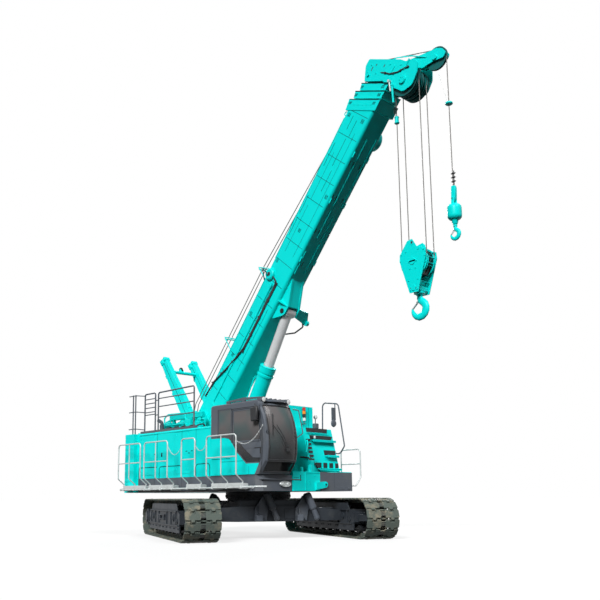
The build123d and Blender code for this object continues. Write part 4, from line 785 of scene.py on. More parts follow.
# Cab: a welded slate frame with smoked panes in thick black rubber seals, a turquoise lower side
# panel, a curved windscreen with two wipers, a mirror on an arm, bent grab tubes and, inside, a padded
# cloth seat between two consoles.
dress(slate, "cab_shell", "cab_door")
dress(turquoise, "cab_side_panel")
dress(black, "cab_interior")
smoked = bpy.data.materials.new("smoked_glass")
smoked.use_nodes = True
tree = smoked.node_tree
surface = tree.nodes["Principled BSDF"]
SILL = 1.85
place = node(tree, "ShaderNodeTexCoord", {}).outputs["Object"]
height = Field(node(tree, "ShaderNodeSeparateXYZ", {0: place}).outputs[2])
tint = shades(tree, ((speckle(tree, 1.3, 1.0) - 0.5) * 6.0 + 0.35).clamped(), (0.150, 0.140, 0.141, 1),
              (0.085, 0.132, 0.134, 1))
tree.links.new(shades(tree, ((height - SILL) * 1.1).clamped(), (0.034, 0.036, 0.039, 1), tint),
               surface.inputs["Base Color"])
surface.inputs["Roughness"].default_value = 0.14
surface.inputs["Specular IOR Level"].default_value = 0.14
surface.inputs["Alpha"].default_value = 0.82
dress(smoked, "cab_glass")


def hoop(bm, outline, width, thick, at=Matrix()):
    """A flat frame of even width just inside an outline, thickened along its Z."""
    face = bm.faces.new([bm.verts.new(at @ Vector((px, py, 0))) for px, py in outline])
    ring = bmesh.ops.inset_region(bm, faces=[face], thickness=width, use_even_offset=True,
                                  use_boundary=True)["faces"]
    bmesh.ops.delete(bm, geom=[face], context="FACES_ONLY")
    grown = bmesh.ops.extrude_face_region(bm, geom=ring)["geom"]
    verts = [g for g in grown if isinstance(g, bmesh.types.BMVert)]
    bmesh.ops.translate(bm, verts=verts, vec=at.to_3x3() @ Vector((0, 0, thick)))


CAB_X, CAB_Y = 1.05, -1.1
SCREEN_X, SCREEN_Z, SCREEN_RADIUS = -0.84, 2.2091, 1.9484


def nose(y, z, proud):
    """A point on the curved front of the cab, standing proud of it."""
    if z > 1.8:
        reach = SCREEN_X + math.sqrt(SCREEN_RADIUS ** 2 - (z - SCREEN_Z) ** 2)
    else:
        reach = 0.87 + (z - 1.5) * 0.65
    return Vector((CAB_X + math.sqrt((reach + proud) ** 2 - (y - CAB_Y) ** 2), y, z))


bm = bmesh.new()
wall = moved(0, -1.598, 0) @ SIDE
door_window = [(0.870, 3.035), (1.735, 3.035), (1.775, 2.90), (1.820, 2.60), (1.850, 2.255), (0.870, 2.255)]
hoop(bm, door_window, 0.055, 0.016, wall)
hoop(bm, [(0.325, 3.085), (0.815, 3.085), (0.815, 2.320), (0.710, 2.372), (0.560, 2.398), (0.325, 2.398)],
     0.038, 0.012, wall)
rim = [nose(y, 3.075, 0.004) for y in (-1.535, -1.32, -1.10, -0.88, -0.665)]
rim += [nose(-0.665, z, 0.004) for z in (2.75, 2.40, 2.10)]
rim += [nose(y, 1.815, 0.004) for y in (-0.665, -0.88, -1.10, -1.32, -1.535)]
rim += [nose(-1.535, z, 0.004) for z in (2.10, 2.40, 2.75, 3.06)]
tube(bm, rim, 0.016, 0.02, sides=6)
rim = [nose(y, 1.785, 0.004) for y in (-1.535, -1.32, -1.10, -0.88, -0.665)]
rim += [nose(y, 1.555, 0.004) for y in (-0.665, -0.88, -1.10, -1.32, -1.535)]
tube(bm, rim, 0.014, 0.02, sides=6)
hoop(bm, [(1.36, 2.10), (1.86, 2.10), (1.835, 1.90), (1.79, 1.78), (1.37, 1.78), (1.20, 1.91)], 0.016, 0.008,
     wall)
block(bm, (1.640, 1.885), (-1.606, -1.58), (2.090, 2.112), edge=0.004)
block(bm, (1.815, 1.870), (-1.606, -1.58), (1.955, 2.092), edge=0.01)
tube(bm, [(0.815, -1.601, 2.26), (0.815, -1.601, 3.065), (1.765, -1.601, 3.065), (1.805, -1.601, 2.90),
          (1.853, -1.601, 2.60), (1.887, -1.601, 2.25), (1.865, -1.601, 1.86), (1.80, -1.601, 1.77)], 0.008,
     0.05, sides=6)
plate(bm, [(1.82, 1.49), (1.835, 1.49), (1.90, 1.80), (1.935, 2.25), (1.895, 2.62), (1.845, 2.92),
           (1.82, 3.08), (1.805, 3.08), (1.83, 2.92), (1.88, 2.62), (1.92, 2.25), (1.885, 1.80)], 0.006, wall)
for y0, z0, y1, z1 in ((-1.055, 2.046, -1.433, 2.608), (-1.030, 2.060, -1.340, 2.614)):
    tube(bm, [nose(y0, z0, 0.03), nose((y0 + y1) / 2, (z0 + z1) / 2, 0.045), nose(y1, z1, 0.03)], 0.008, 0.05,
         sides=6)
block(bm, (2.16, 2.20), (-1.10, -0.99), (2.005, 2.075), edge=0.008)
tube(bm, [nose(-1.46, 2.36, 0.02), nose(-1.43, 2.62, 0.02), nose(-1.38, 2.88, 0.02)], 0.009, 0.05, sides=6)
plate(bm, [(1.66, 2.73), (1.68, 2.70), (1.84, 2.71), (1.862, 2.74), (1.885, 3.00), (1.862, 3.035),
           (1.67, 3.02), (1.648, 2.99)], 0.055, moved(0, -1.700, 0) @ SIDE, edge=0.02)
tube(bm, [(1.66, -1.60, 3.10), (1.80, -1.73, 3.10), (1.86, -1.735, 2.98)], 0.011, 0.03, sides=8)
tube(bm, [(1.70, -1.60, 2.72), (1.78, -1.73, 2.74), (1.86, -1.735, 2.80)], 0.011, 0.03, sides=8)
fresh("cab_seals", black, "upper", bm)
bm = bmesh.new()
plate(bm, [(1.672, 2.735), (1.69, 2.715), (1.83, 2.722), (1.846, 2.745), (1.868, 2.99), (1.85, 3.014),
           (1.685, 3.002), (1.664, 2.98)], 0.003, moved(0, -1.697, 0) @ SIDE)
fresh("mirror_glass", lamp_glass, "upper", bm)
bm = bmesh.new()
plate(bm, [(0.895, 2.225), (0.895, 2.19), (1.035, 2.055), (1.362, 1.785), (1.79, 1.785), (1.842, 1.872),
           (1.585, 1.885), (1.245, 2.130), (1.155, 2.225)], 0.006, wall)
fresh("door_low_glass", smoked, "upper", bm)
bm = bmesh.new()
at = moved(1.792, -0.788, 1.282) @ FRONT @ Matrix.Diagonal((0.174, 0.067, 0.05, 1))
turned(bm, [(0, 0), (1, 0), (1, 0.6), (0.93, 0.9), (0.84, 0.8), (0.80, 0.35), (0, 0.35)], at, steps=32)
for y in (-0.88, -0.70):
    turned(bm, [(0, 0), (0.042, 0), (0.046, 0.02), (0.03, 0.036), (0, 0.04)], moved(1.80, y, 1.282) @ FRONT)
fresh("front_lamp", silver, "upper", bm)
bm = bmesh.new()
for z in (1.455, 1.475):
    block(bm, (0.05, 1.64), (-1.606, -1.59), (z, z + 0.006), edge=0.001)
block(bm, (1.60, 1.83), (-1.54, -0.254), (1.376, 1.402), edge=0.006)
plate(bm, [(0.06, -1.59), (1.62, -1.59), (1.90, -1.46), (2.02, -1.10), (1.90, -0.74), (1.62, -0.61),
           (0.06, -0.61)], 0.045, moved(0, 0, 3.166), edge=0.02)
for y in (-1.668, -0.868):
    turned(bm, [(0, -0.06), (0.045, -0.055), (0.062, -0.01), (0.062, 0.012), (0.057, 0.008), (0, 0.008)],
           moved(1.93, y + 0.09, 3.20) @ FRONT)
    stud(bm, 1.90, y + 0.09, (3.14, 3.20), 0.012, 8)
tube(bm, [(2.00, -1.60, 3.00), (2.06, -1.665, 2.97), (2.12, -1.655, 2.47), (2.05, -1.60, 2.44)], 0.013, 0.04)
tube(bm, [(2.02, -0.72, 3.02), (2.10, -0.60, 3.00), (2.16, -0.53, 2.46), (2.04, -0.60, 2.36)], 0.012, 0.04)
fresh("cab_roof_and_sill", slate, "upper", bm)


ROUNDING = 0.42
SEAM_AT, SEAM_HALF, SEAM_DEPTH = 0.55, 0.06, 0.06


def cushion(name, x, y, z):
    """A crowned, padded seat part: a soft box whose faces swell between its seams."""
    bm = bmesh.new()
    size = Vector((x[1] - x[0], y[1] - y[0], z[1] - z[0]))
    middle = Vector((x[0] + x[1], y[0] + y[1], z[0] + z[1])) / 2
    bmesh.ops.create_cube(bm, size=2)
    bmesh.ops.subdivide_edges(bm, edges=bm.edges[:], cuts=9, use_grid_fill=True)
    for v in bm.verts:
        soft = v.co.normalized() * 1.25
        swell = (1 - v.co.x ** 2) * (1 - v.co.y ** 2) + (1 - v.co.y ** 2) * (1 - v.co.z ** 2)
        v.co = v.co.lerp(soft, ROUNDING) * (0.90 + 0.035 * swell)
        groove = math.exp(-((abs(v.co.y) - SEAM_AT) / SEAM_HALF) ** 2)
        v.co.z -= SEAM_DEPTH * groove * (1 if v.co.z > 0 else -1)
    bmesh.ops.transform(bm, matrix=Matrix.Translation(middle) @ Matrix.Diagonal((*(size / 2), 1)),
                        verts=bm.verts)
    pad = fresh(name, cloth, "upper", bm, sharp=60)
    return pad


cloth = finish("seat_cloth", (0.020, 0.021, 0.024), (0.034, 0.034, 0.037), 14.0, 0.4, 0.85, grain=420,
               depth=0.6)
cushion("seat_cushion", (0.44, 0.98), (-1.36, -0.84), (1.87, 2.02))
cushion("seat_backrest", (0.40, 0.56), (-1.34, -0.86), (2.02, 2.62))
cushion("seat_headrest", (0.42, 0.53), (-1.24, -0.96), (2.64, 2.84))
cushion("seat_armrest", (0.50, 0.86), (-0.80, -0.72), (2.10, 2.20))
bm = bmesh.new()
block(bm, (0.50, 0.92), (-1.30, -0.90), (1.552, 1.60), edge=0.01)
plate(bm, [(0.52, 1.60), (0.90, 1.60), (0.94, 1.87), (0.48, 1.87)], 0.34, moved(0, -0.93, 0) @ SIDE, 0.01)
for y in (-1.16, -1.04):
    stud(bm, 0.475, y, (2.55, 2.70), 0.01)
block(bm, (0.56, 1.15), (-0.84, -0.70), (1.552, 2.08), edge=0.03)
block(bm, (0.58, 1.10), (-1.50, -1.38), (1.90, 2.06), edge=0.03)
bar(bm, (1.02, -1.44, 2.05), (1.05, -1.44, 2.22), 0.012)
bar(bm, (1.02, -0.77, 2.07), (1.05, -0.77, 2.22), 0.012)
for y in (-1.44, -0.77):
    turned(bm, [(0, 0), (0.02, 0.005), (0.026, 0.035), (0.018, 0.06), (0, 0.068)], moved(1.05, y, 2.21))
block(bm, (1.56, 1.74), (-1.30, -0.90), (1.552, 1.80), edge=0.02)
plate(bm, [(1.58, 1.80), (1.72, 1.80), (1.66, 2.20), (1.60, 2.22)], 0.09, moved(0, -0.72, 0) @ SIDE, 0.01)
block(bm, (1.50, 1.56), (-0.92, -0.70), (2.20, 2.40), edge=0.015)
for y in (-1.24, -0.98):
    bar(bm, (1.50, y, 1.56), (1.62, y, 1.86), 0.016)
    block(bm, (1.44, 1.54), about(y, 0.05), (1.60, 1.63), edge=0.006)
fittings = fresh("seat_base_and_consoles", black, "upper", bm)
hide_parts("cab_interior")
bm = bmesh.new()
for y in (-1.578, -0.778):
    turned(bm, [(0, 0), (0.056, 0), (0.056, 0.006), (0.03, 0.014), (0, 0.017)], moved(1.943, y, 3.20) @ FRONT)
fresh("cab_lamp_lenses", lamp_glass, "upper", bm)
bm = bmesh.new()
for x in (0.486, 0.70):
    block(bm, (0.08, 0.78), (-1.604, -1.592), (1.885, 1.895))
block(bm, (0.462, 1.245), (-1.6025, -1.594), (1.815, 1.822))
block(bm, (1.438, 1.444), (-1.6025, -1.594), (1.50, 1.682))
fresh("cab_panel_slots", seam, "upper", bm)

# Winches: two cast drums on shafts between the cheeks, with their gears inside. Steel rope is wound on
# them in close turns.
dress(roller_steel, "winches")
rope_steel = finish("rope_steel", (0.150, 0.145, 0.135), (0.075, 0.073, 0.070), 60.0, 0.45, 0.45, metal=0.55,
                    grain=220, depth=0.5, shine=0.4)
dress(rope_steel, "main_falls", "aux_fall")
bm = bmesh.new()
for x, z in ((-2.76, 2.26), (-2.19, 1.80)):
    ridges = [(0.23, -0.272)]
    for i in range(22):
        ridges += [(0.245, -0.27 + i * 0.0247), (0.256, -0.258 + i * 0.0247)]
    ridges += [(0.245, 0.272), (0.23, 0.272), (0.23, -0.272)]
    turned(bm, ridges, moved(x, 0, z) @ SIDE, steps=36)
fresh("winch_rope", rope_steel, "upper", bm)

# Mast: two folded box arms on pins, tied by a cross tube, with a stiffening groove down each arm, drawn as a
# dark strip of painted shade, end lugs and a guide sheave. It leans back over the counterweight.
dress(turquoise, "mast")
dress(roller_steel, "frame_pins")
MAST = moved(-2.2, 0, 3.12) @ Matrix.Rotation(math.radians(-34.6), 4, "Y")
# The grooves are dark strips: painted shade.
bm = bmesh.new()
for hand in (-1, 1):
    for y in (hand * 0.595, hand * 0.437):
        plate(bm, [(-0.006, 0.25), (0.006, 0.25), (0.012, 1.05), (0.006, 2.16), (-0.006, 2.16), (0.0, 1.05)],
              0.004, MAST @ moved(0, y + 0.002, 0) @ SIDE)
fresh("mast_groove_shade", seam, "mast", bm)
bm = bmesh.new()
for hand in (-1, 1):
    arm = hand * 0.515
    block(bm, (-0.125, 0.02), about(arm, 0.105), (2.12, 2.292), MAST, 0.01)
    block(bm, (0.045, 0.125), about(arm, 0.105), (2.17, 2.288), MAST, 0.01)
    stud(bm, -0.05, about(arm, 0.113), 2.20, 0.04, 16, MAST)
    block(bm, (-0.20, -0.13), about(arm, 0.05), (1.70, 1.80), MAST, 0.008)
    block(bm, (-0.24, -0.15), about(arm, 0.05), (1.04, 1.16), MAST, 0.008)
    stud(bm, 0, (hand * 0.50, hand * 0.612), 0, 0.12, 20, MAST)
    block(bm, (0.12, 0.18), about(arm, 0.075), (0.30, 0.42), MAST, 0.008)
for y in (-0.10, -0.02):
    block(bm, (-0.05, 0.05), about(y, 0.012), (1.82, 1.94), MAST, 0.006)
stud(bm, 0, (-0.12, 0.0), 1.93, 0.018, 10, MAST)
fresh("mast_fittings", turquoise, "mast", bm)
bm = bmesh.new()
turned(bm, [(0.02, -0.022), (0.075, -0.022), (0.082, -0.014), (0.066, 0), (0.082, 0.014), (0.075, 0.022),
            (0.02, 0.022), (0.02, -0.022)],
       MAST @ moved(0, -0.06, 1.93) @ SIDE, steps=20)
for hand in (-1, 1):
    bar(bm, (0.10, hand * 0.515, 2.20), (0.165, hand * 0.515, 0.44), 0.006, 6, MAST)
fresh("mast_sheave", roller_steel, "mast", bm)

# Lift ram: a chromed steel rod in a turquoise barrel, pinned to the frame and to the boom. A gland is
# bolted into the barrel's mouth, and two pipes run along its back.
dress(turquoise, "ram_barrel")
chrome = finish("chrome_plate", (0.60, 0.61, 0.62), (0.56, 0.57, 0.58), 3.0, 0.4, 0.20, metal=0.12, grain=300,
                depth=0.01, shine=0.5)
dress(chrome, "ram_rod")
dress(roller_steel, "ram_pin")
RAM = moved(-1.05, 0, 1.75) @ Matrix.Rotation(math.radians(-60.2556), 4, "Y")
along_ram = RAM @ Matrix.Rotation(math.pi / 2, 4, "Y")
bm = bmesh.new()
turned(bm, [(0.19, 2.70), (0.222, 2.71), (0.222, 2.765), (0.19, 2.775), (0.19, 2.70)], along_ram, steps=36)
turned(bm, [(0.140, 2.966), (0.222, 2.966), (0.224, 2.978), (0.215, 2.990), (0.150, 2.994), (0.140, 2.985),
            (0.140, 2.966)], along_ram, steps=36)
GLAND_BOLTS = 16
for i in range(GLAND_BOLTS):
    turn = math.tau * i / GLAND_BOLTS
    stud(bm, (2.98, 3.004), 0.185 * math.cos(turn), 0.185 * math.sin(turn), 0.014, 6, RAM)
for y in (-0.12, 0.12):
    tube(bm, [(0.40, y, 0.20), (0.48, y, 0.235), (2.55, y, 0.235), (2.62, y, 0.19)], 0.018, 0.04, at=RAM)
block(bm, (0.34, 0.62), (-0.10, 0.10), (0.17, 0.28), RAM, 0.015)
for x in (1.0, 1.9):
    block(bm, (x, x + 0.05), (-0.15, 0.15), (0.16, 0.25), RAM, 0.006)
fresh("ram_gland", turquoise, "ram_barrel", bm)

# Boom: folded high-strength plate, welded in lengths along its sides, with a raked collar and three-bar
# marks at each mouth. Cable channels and a black tray are screwed to brackets, with hoses near the root.
dress(turquoise, "boom_base", "boom_second", "boom_third", "boom_top", "boom_head")
BOOM = moved(-2.055, 0, 2.764) @ Matrix.Rotation(math.radians(-50), 4, "Y")
# The dark strips across and along the boom's sides are painted shade of its grooves and weld seams; the
# three-bar groups are marks.
bm = bmesh.new()
for i in range(15):
    s = 1.35 + i * 0.57
    for y in both(0.3165, 0.3195):
        block(bm, about(s, 0.005), y, (-0.36, 0.345), BOOM)
    block(bm, about(s, 0.005), (-0.25, 0.25), (0.417, 0.4205), BOOM)
for s0, s1, n in ((1.40, 3.30, 0.10), (5.60, 6.90, 0.16), (7.05, 8.30, 0.16), (5.60, 8.90, -0.20),
                  (2.2, 4.1, -0.24)):
    for y in both(0.3165, 0.3190):
        block(bm, (s0, s1), y, about(n, 0.004), BOOM)
for s0, s1, n in ((8.78, 9.18, -0.06), (8.90, 9.24, 0.12), (6.0, 6.5, 0.30), (6.6, 7.1, 0.30),
                  (7.9, 8.5, 0.28), (7.35, 7.9, -0.05), (8.0, 8.7, 0.0), (4.0, 4.7, -0.02)):
    block(bm, (s0, s1), (-0.3192, -0.3165), about(n, 0.006), BOOM)
for s, n in ((9.22, 0.27), (9.22, -0.25), (6.25, 0.02), (5.28, 0.28), (3.70, 0.27), (2.45, 0.20),
             (7.30, -0.30)):
    for step in (-0.035, 0.0, 0.035):
        block(bm, about(s, 0.05), (-0.3205, -0.3165), about(n + step, 0.007), BOOM)
for i in range(4):
    for y in (-0.24, -0.12, 0.12, 0.24):
        block(bm, (5.5 + i * 0.9, 5.62 + i * 0.9), about(y, 0.01), (-0.4205, -0.417), BOOM)
fresh("boom_seam_shade_and_marks", seam, "base_section", bm)
COLLAR_RAKE = 0.311
COLLAR_TOP = 0.418
# The dark line along each collar's raked edge is painted shade at the step between sections; the three short
# bars are marks.
for body, edge_at, half, low, high in (("base_section", 9.552, 0.333, -0.45, 0.48),
                                       ("second_section", 9.765, 0.300, -0.44, 0.46),
                                       ("third_section", 9.975, 0.264, -0.40, 0.43)):
    bm = bmesh.new()
    run = COLLAR_RAKE * (high - low)
    lean = Matrix.Rotation(math.atan2(-run, high - low), 4, "Y")
    at = BOOM @ moved(edge_at + COLLAR_RAKE * (COLLAR_TOP - low), 0, low) @ lean
    for hand in (-1, 1):
        block(bm, (-0.009, 0.009), (hand * (half + 0.0035), hand * (half - 0.01)),
              (0, math.hypot(run, high - low)), at)
        for middle in (low + 0.12, high - 0.08):
            for n in (middle - 0.030, middle, middle + 0.030):
                s = edge_at + COLLAR_RAKE * (COLLAR_TOP - n) - 0.09
                block(bm, about(s, 0.035), (hand * (half - 0.01), hand * (half + 0.0035)),
                      about(n, 0.006), BOOM)
    fresh(f"collar_edge_shade_and_marks_{body}", seam, body, bm)
bm = bmesh.new()
block(bm, (1.05, 4.72), (-0.352, -0.315), (0.015, 0.085), BOOM, 0.008)
block(bm, (1.05, 9.20), (0.315, 0.345), (0.10, 0.17), BOOM, 0.008)
for s in (1.5, 2.6, 3.7, 4.6):
    block(bm, (s, s + 0.07), (-0.362, -0.315), (0.0, 0.10), BOOM, 0.006)
for s in (2.2, 5.45, 7.3, 8.9):
    for y in (-0.13, 0.10):
        block(bm, (s, s + 0.16), (y, y + 0.028), (0.41, 0.50), BOOM, 0.008)
    stud(bm, s + 0.08, (-0.12, 0.12), 0.475, 0.024, 12, BOOM)
for s0, s1, y in ((5.35, 6.9, 0.10), (6.3, 8.9, -0.08), (7.2, 9.0, 0.20), (5.25, 5.9, -0.22)):
    block(bm, (s0, s1), about(y, 0.010), (-0.436, -0.412), BOOM, 0.003)
for s in (5.6, 7.2, 8.4):
    for y in (-0.27, 0.25):
        block(bm, (s, s + 0.14), (y, y + 0.02), (-0.448, -0.412), BOOM, 0.005)
for s in (1.35, 5.3):
    block(bm, (s, s + 3.3 if s < 2 else s + 3.8), (-0.3245, -0.312), (0.372, 0.384), BOOM, 0.002)
for n in (-0.26, -0.13, 0.0, 0.13, 0.26):
    for hand in (-1, 1):
        s = 9.563 + COLLAR_RAKE * (COLLAR_TOP - n) - 0.14
        stud(bm, s, (hand * 0.325, hand * 0.342), n, 0.017, 6, BOOM)
for y in (-0.22, -0.11, 0.0, 0.11, 0.22):
    stud(bm, 9.47, y, (0.46, 0.50), 0.017, 6, BOOM)
tube(bm, [(9.16, -0.26, 0.41), (9.165, -0.26, 0.485), (9.245, -0.26, 0.485), (9.25, -0.26, 0.41)], 0.012,
     0.03, at=BOOM)
for hand in (-1, 1):
    plate(bm, [(0.35, -0.02), (0.62, -0.12), (0.95, -0.13), (0.95, 0.13), (0.62, 0.12), (0.35, 0.02)], 0.014,
          BOOM @ moved(0, 0.329 if hand > 0 else -0.315, 0) @ SIDE)
fresh("boom_channels", turquoise, "base_section", bm)
bm = bmesh.new()
tube(bm, [(0.95, -0.335, 0.42), (1.48, -0.345, 0.36), (2.07, -0.345, 0.13), (2.62, -0.345, -0.045),
          (2.84, -0.345, -0.098)], 0.022, 0.12, at=BOOM)
tube(bm, [(4.72, -0.345, -0.098), (4.84, -0.350, -0.06), (4.88, -0.350, 0.10), (4.86, -0.350, 0.22)], 0.020,
     0.06, at=BOOM)
block(bm, (2.74, 4.80), (-0.348, -0.314), (-0.136, -0.060), BOOM, 0.008)
for s in (2.72, 3.24, 3.76, 4.28, 4.78):
    block(bm, (s, s + 0.04), (-0.356, -0.314), (-0.150, -0.046), BOOM, 0.004)
tube(bm, [(4.88, -0.46, 0.25), (4.92, -0.50, 0.40), (4.86, -0.40, 0.52), (4.60, -0.20, 0.50)], 0.014, 0.06,
     at=BOOM)
tube(bm, [(4.20, 0.50, -0.72), (4.05, 0.56, -0.80), (3.80, 0.50, -0.70), (3.55, 0.30, -0.44)], 0.02, 0.06,
     at=BOOM)
turned(bm, [(0, -0.02), (0.05, -0.02), (0.055, 0.0), (0.03, 0.012), (0, 0.014)],
       BOOM @ moved(4.88, -0.395, 0.25) @ SIDE)
for s, n in ((1.40, 0.385), (1.80, 0.238), (2.30, 0.055)):
    block(bm, (s, s + 0.03), (-0.368, -0.316), about(n, 0.035), BOOM)
fresh("boom_hoses", black, "base_section", bm)
bm = bmesh.new()
ROPE_RADIUS = 0.011
ROPE_LINES = (-0.06, 0.05)
ROPE_TAIL, ROPE_GUIDE, ROPE_MOUTH = (0.34, 0.950), (4.77, 0.915), (9.60, 0.545)
for y in ROPE_LINES:
    for (s0, n0), (s1, n1) in ((ROPE_GUIDE, ROPE_MOUTH), (ROPE_TAIL, ROPE_GUIDE)):
        bar(bm, (s0, y, n0), (s1, y, n1), ROPE_RADIUS, 8, BOOM)
fresh("hoist_rope_base", rope_steel, "base_section", bm)
bm = bmesh.new()
for s in (2.587, 4.771):
    tube(bm, [(s - 0.16, -0.20, 0.41), (s, -0.20, 0.93), (s, 0.20, 0.93), (s - 0.16, 0.20, 0.41)], 0.014,
         0.04, at=BOOM)
    for y in (-0.20, 0.20):
        bar(bm, (s, y, 0.93), (s + 0.22, y, 0.41), 0.010, 8, BOOM)
    stud(bm, s - 0.035, (-0.19, 0.19), 0.895, 0.016, 10, BOOM)
fresh("rope_guides", turquoise, "base_section", bm)
bm = bmesh.new()
drum_top = Vector((-2.93, 0, 2.49))
for y in ROPE_LINES:
    bar(bm, BOOM @ Vector((ROPE_TAIL[0], y, ROPE_TAIL[1])), drum_top + Vector((0, y, 0)), ROPE_RADIUS, 8)
lead = fresh("hoist_rope_lead", rope_steel, None, bm)
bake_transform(lead)
for number, first, second, (s0, n0), (s1, n1) in (
        (1, "base_section", "second_section", ROPE_MOUTH, (9.80, 0.535)),
        (2, "second_section", "third_section", (9.80, 0.535), (10.02, 0.53)),
        (3, "third_section", "top_section", (10.02, 0.53), (10.42, 0.545))):
    bm = bmesh.new()
    for y in ROPE_LINES:
        bar(bm, (s0, y, n0), (s1, y, n1), ROPE_RADIUS, 8, BOOM)
    rope = fresh(f"hoist_rope_{number}", rope_steel, None, bm)
    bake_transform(rope)

# Boom head: machined sheaves on one pin between two smooth plates, with bolted covers and a hose that
# is clipped to the right one. The second hoist rope leads over the back to the tip sheave.
# The sheaves' dark turquoise is painted shade for the deep space between the head's plates.
sheave_painted_shade = finish("sheave_painted_shade", (0.0, 0.105, 0.102), (0.012, 0.065, 0.063), 7.0, 0.42, 0.5, grain=110,
                      depth=0.2)
dress(sheave_painted_shade, "head_sheaves")
PIN_S, PIN_N = 10.40, -0.79
bm = bmesh.new()
for y in both(0.30, 0.342):
    stud(bm, PIN_S, y, PIN_N, 0.085, 24, BOOM)
COVER_BOLTS = 6
for i in range(COVER_BOLTS):
    turn = math.tau * i / COVER_BOLTS
    for hand in (-1, 1):
        stud(bm, PIN_S + 0.06 * math.cos(turn), (hand * 0.34, hand * 0.352), PIN_N + 0.06 * math.sin(turn),
             0.011, 6, BOOM)
for s, n in ((10.24, -0.40), (10.30, 0.10), (10.42, 0.36), (10.60, -0.20), (10.68, -0.52), (10.25, 0.36)):
    for hand in (-1, 1):
        stud(bm, s, (hand * 0.298, hand * 0.314), n, 0.018, 6, BOOM)
for y in both(0.085, 0.118):
    stud(bm, 11.10, y, -1.15, 0.06, 20, BOOM)
for s, n in ((10.86, -0.62), (11.00, -0.84), (11.22, -1.05)):
    stud(bm, s, (-0.06, 0.06), n, 0.02, 10, BOOM)
for hand in (-1, 1):
    plate(bm, [(10.22, -0.16), (10.31, -0.20), (10.37, -0.33), (10.33, -0.45), (10.24, -0.45),
               (10.19, -0.30)], 0.012, BOOM @ moved(0, hand * 0.306 + 0.006, 0) @ SIDE, 0.003)
    for s, lip, n in (((10.60, 10.86), 0.318, (-0.70, -0.66)), ((10.44, 10.62), 0.314, (-0.37, -0.34))):
        block(bm, s, (hand * 0.298, hand * lip), n, BOOM, 0.005)
stud(bm, 10.20, (-0.314, -0.338), 0.30, 0.035, 16, BOOM)
tube(bm, [(10.62, -0.02, 0.22), (10.80, -0.10, -0.10), (10.95, -0.12, -0.52), (11.04, -0.09, -0.92)], 0.014,
     0.10, at=BOOM)
fresh("head_covers", turquoise, "top_section", bm)
bm = bmesh.new()
for s, n, w in ((10.35, 0.28, 0.05), (10.52, -0.05, 0.03), (10.47, 0.20, 0.02)):
    for y in both(0.2985, 0.3025):
        block(bm, about(s, w), y, about(n, 0.012), BOOM)
tube(bm, [(10.36, -0.305, -0.05), (10.387, -0.318, -0.19), (10.41, -0.318, -0.354), (10.509, -0.318, -0.545),
          (10.631, -0.318, -0.67), (10.706, -0.318, -0.785)], 0.013, 0.10, at=BOOM)
for s, n in ((10.387, -0.19), (10.45, -0.44), (10.57, -0.61), (10.70, -0.77)):
    block(bm, about(s, 0.02), (-0.334, -0.298), about(n, 0.02), BOOM, 0.005)
fresh("head_hose", black, "top_section", bm)
bm = bmesh.new()
bar(bm, (10.42, -0.06, 0.545), (10.66, -0.03, 0.30), ROPE_RADIUS, 8, BOOM)
bar(bm, (10.66, -0.03, 0.30), (11.235, 0.0, -0.945), ROPE_RADIUS, 8, BOOM)
fresh("tip_rope", rope_steel, "top_section", bm)

# Hook block: two thick side plates bolted round the sheaves, with a dark guard below them, and a forged
# swivel hook with a spring latch. The auxiliary hook hangs under a turned weight and a wedge socket.
dress(turquoise, "hook_block", "main_hook", "aux_weight", "aux_hook")
MAIN = Vector((5.23517, 0, 6.00306))
AUX = Vector((6.2019, 0, 7.4679))
main_place = Matrix.Translation(MAIN)
bm = bmesh.new()
for hand in (-1, 1):
    face = hand * 0.212
    for x, z in ((-0.29, 0.20), (0.29, 0.20), (-0.31, 0.06), (0.31, 0.06), (0.12, -0.42), (-0.12, -0.42),
                 (0.16, 0.24), (-0.16, 0.24), (0.07, -0.16), (-0.07, -0.16), (-0.09, -0.64), (0.09, -0.64)):
        stud(bm, x, (face, face + hand * 0.014), z, 0.016, 6, main_place)
    stud(bm, 0, (face, face + hand * 0.006), 0.42, 0.055, 20, main_place)
    stud(bm, 0, (face, face + hand * 0.016), 0, 0.075, 20, main_place)
    block(bm, (-0.11, 0.11), (face, face + hand * 0.016), (-0.022, 0.022), main_place, 0.004)
block(bm, (-0.10, 0.10), (-0.186, 0.186), (-0.665, -0.54), main_place, 0.02)
turned(bm, [(0.06, -0.655), (0.11, -0.665), (0.125, -0.672), (0.125, -0.70), (0.085, -0.715), (0.06, -0.715),
            (0.06, -0.655)], main_place, steps=28)
for hand in (-1, 1):
    for x, z in ((0.31, 0.17), (0.325, 0.05), (0.30, -0.07), (0.13, -0.45)):
        stud(bm, hand * x, (-0.188, 0.188), z, 0.013, 10, main_place)
    block(bm, (hand * 0.13, hand * 0.28), (-0.186, 0.186), (-0.128, -0.112), main_place)
block(bm, (-0.07, 0.07), (-0.12, 0.12), (-0.54, -0.40), main_place, 0.02)
fresh("block_bolts", turquoise, "main_block", bm)
bm = bmesh.new()
for hand in (-1, 1):
    face = hand * 0.2125
    stud(bm, 0, (face, face + hand * 0.0065), 0.42, 0.030, 16, main_place)
    at = main_place @ moved(0, face, -0.56) @ SIDE
    for a in range(-5, 5):
        low, high = math.radians(270 + a * 14), math.radians(270 + (a + 1) * 14)
        bar(bm, (0.085 * math.cos(low), 0.085 * math.sin(low), 0.0),
            (0.085 * math.cos(high), 0.085 * math.sin(high), 0.0), 0.007, 4, at)
for hand in (-1, 1):
    plate(bm, [(0.10, -0.13), (0.24, -0.13), (0.20, -0.22), (0.15, -0.30), (0.10, -0.30)], 0.36,
          main_place @ moved(0, 0.18, 0) @ Matrix.Diagonal((hand, 1, 1, 1)) @ SIDE, 0.004)
fresh("block_guard", black, "main_block", bm)
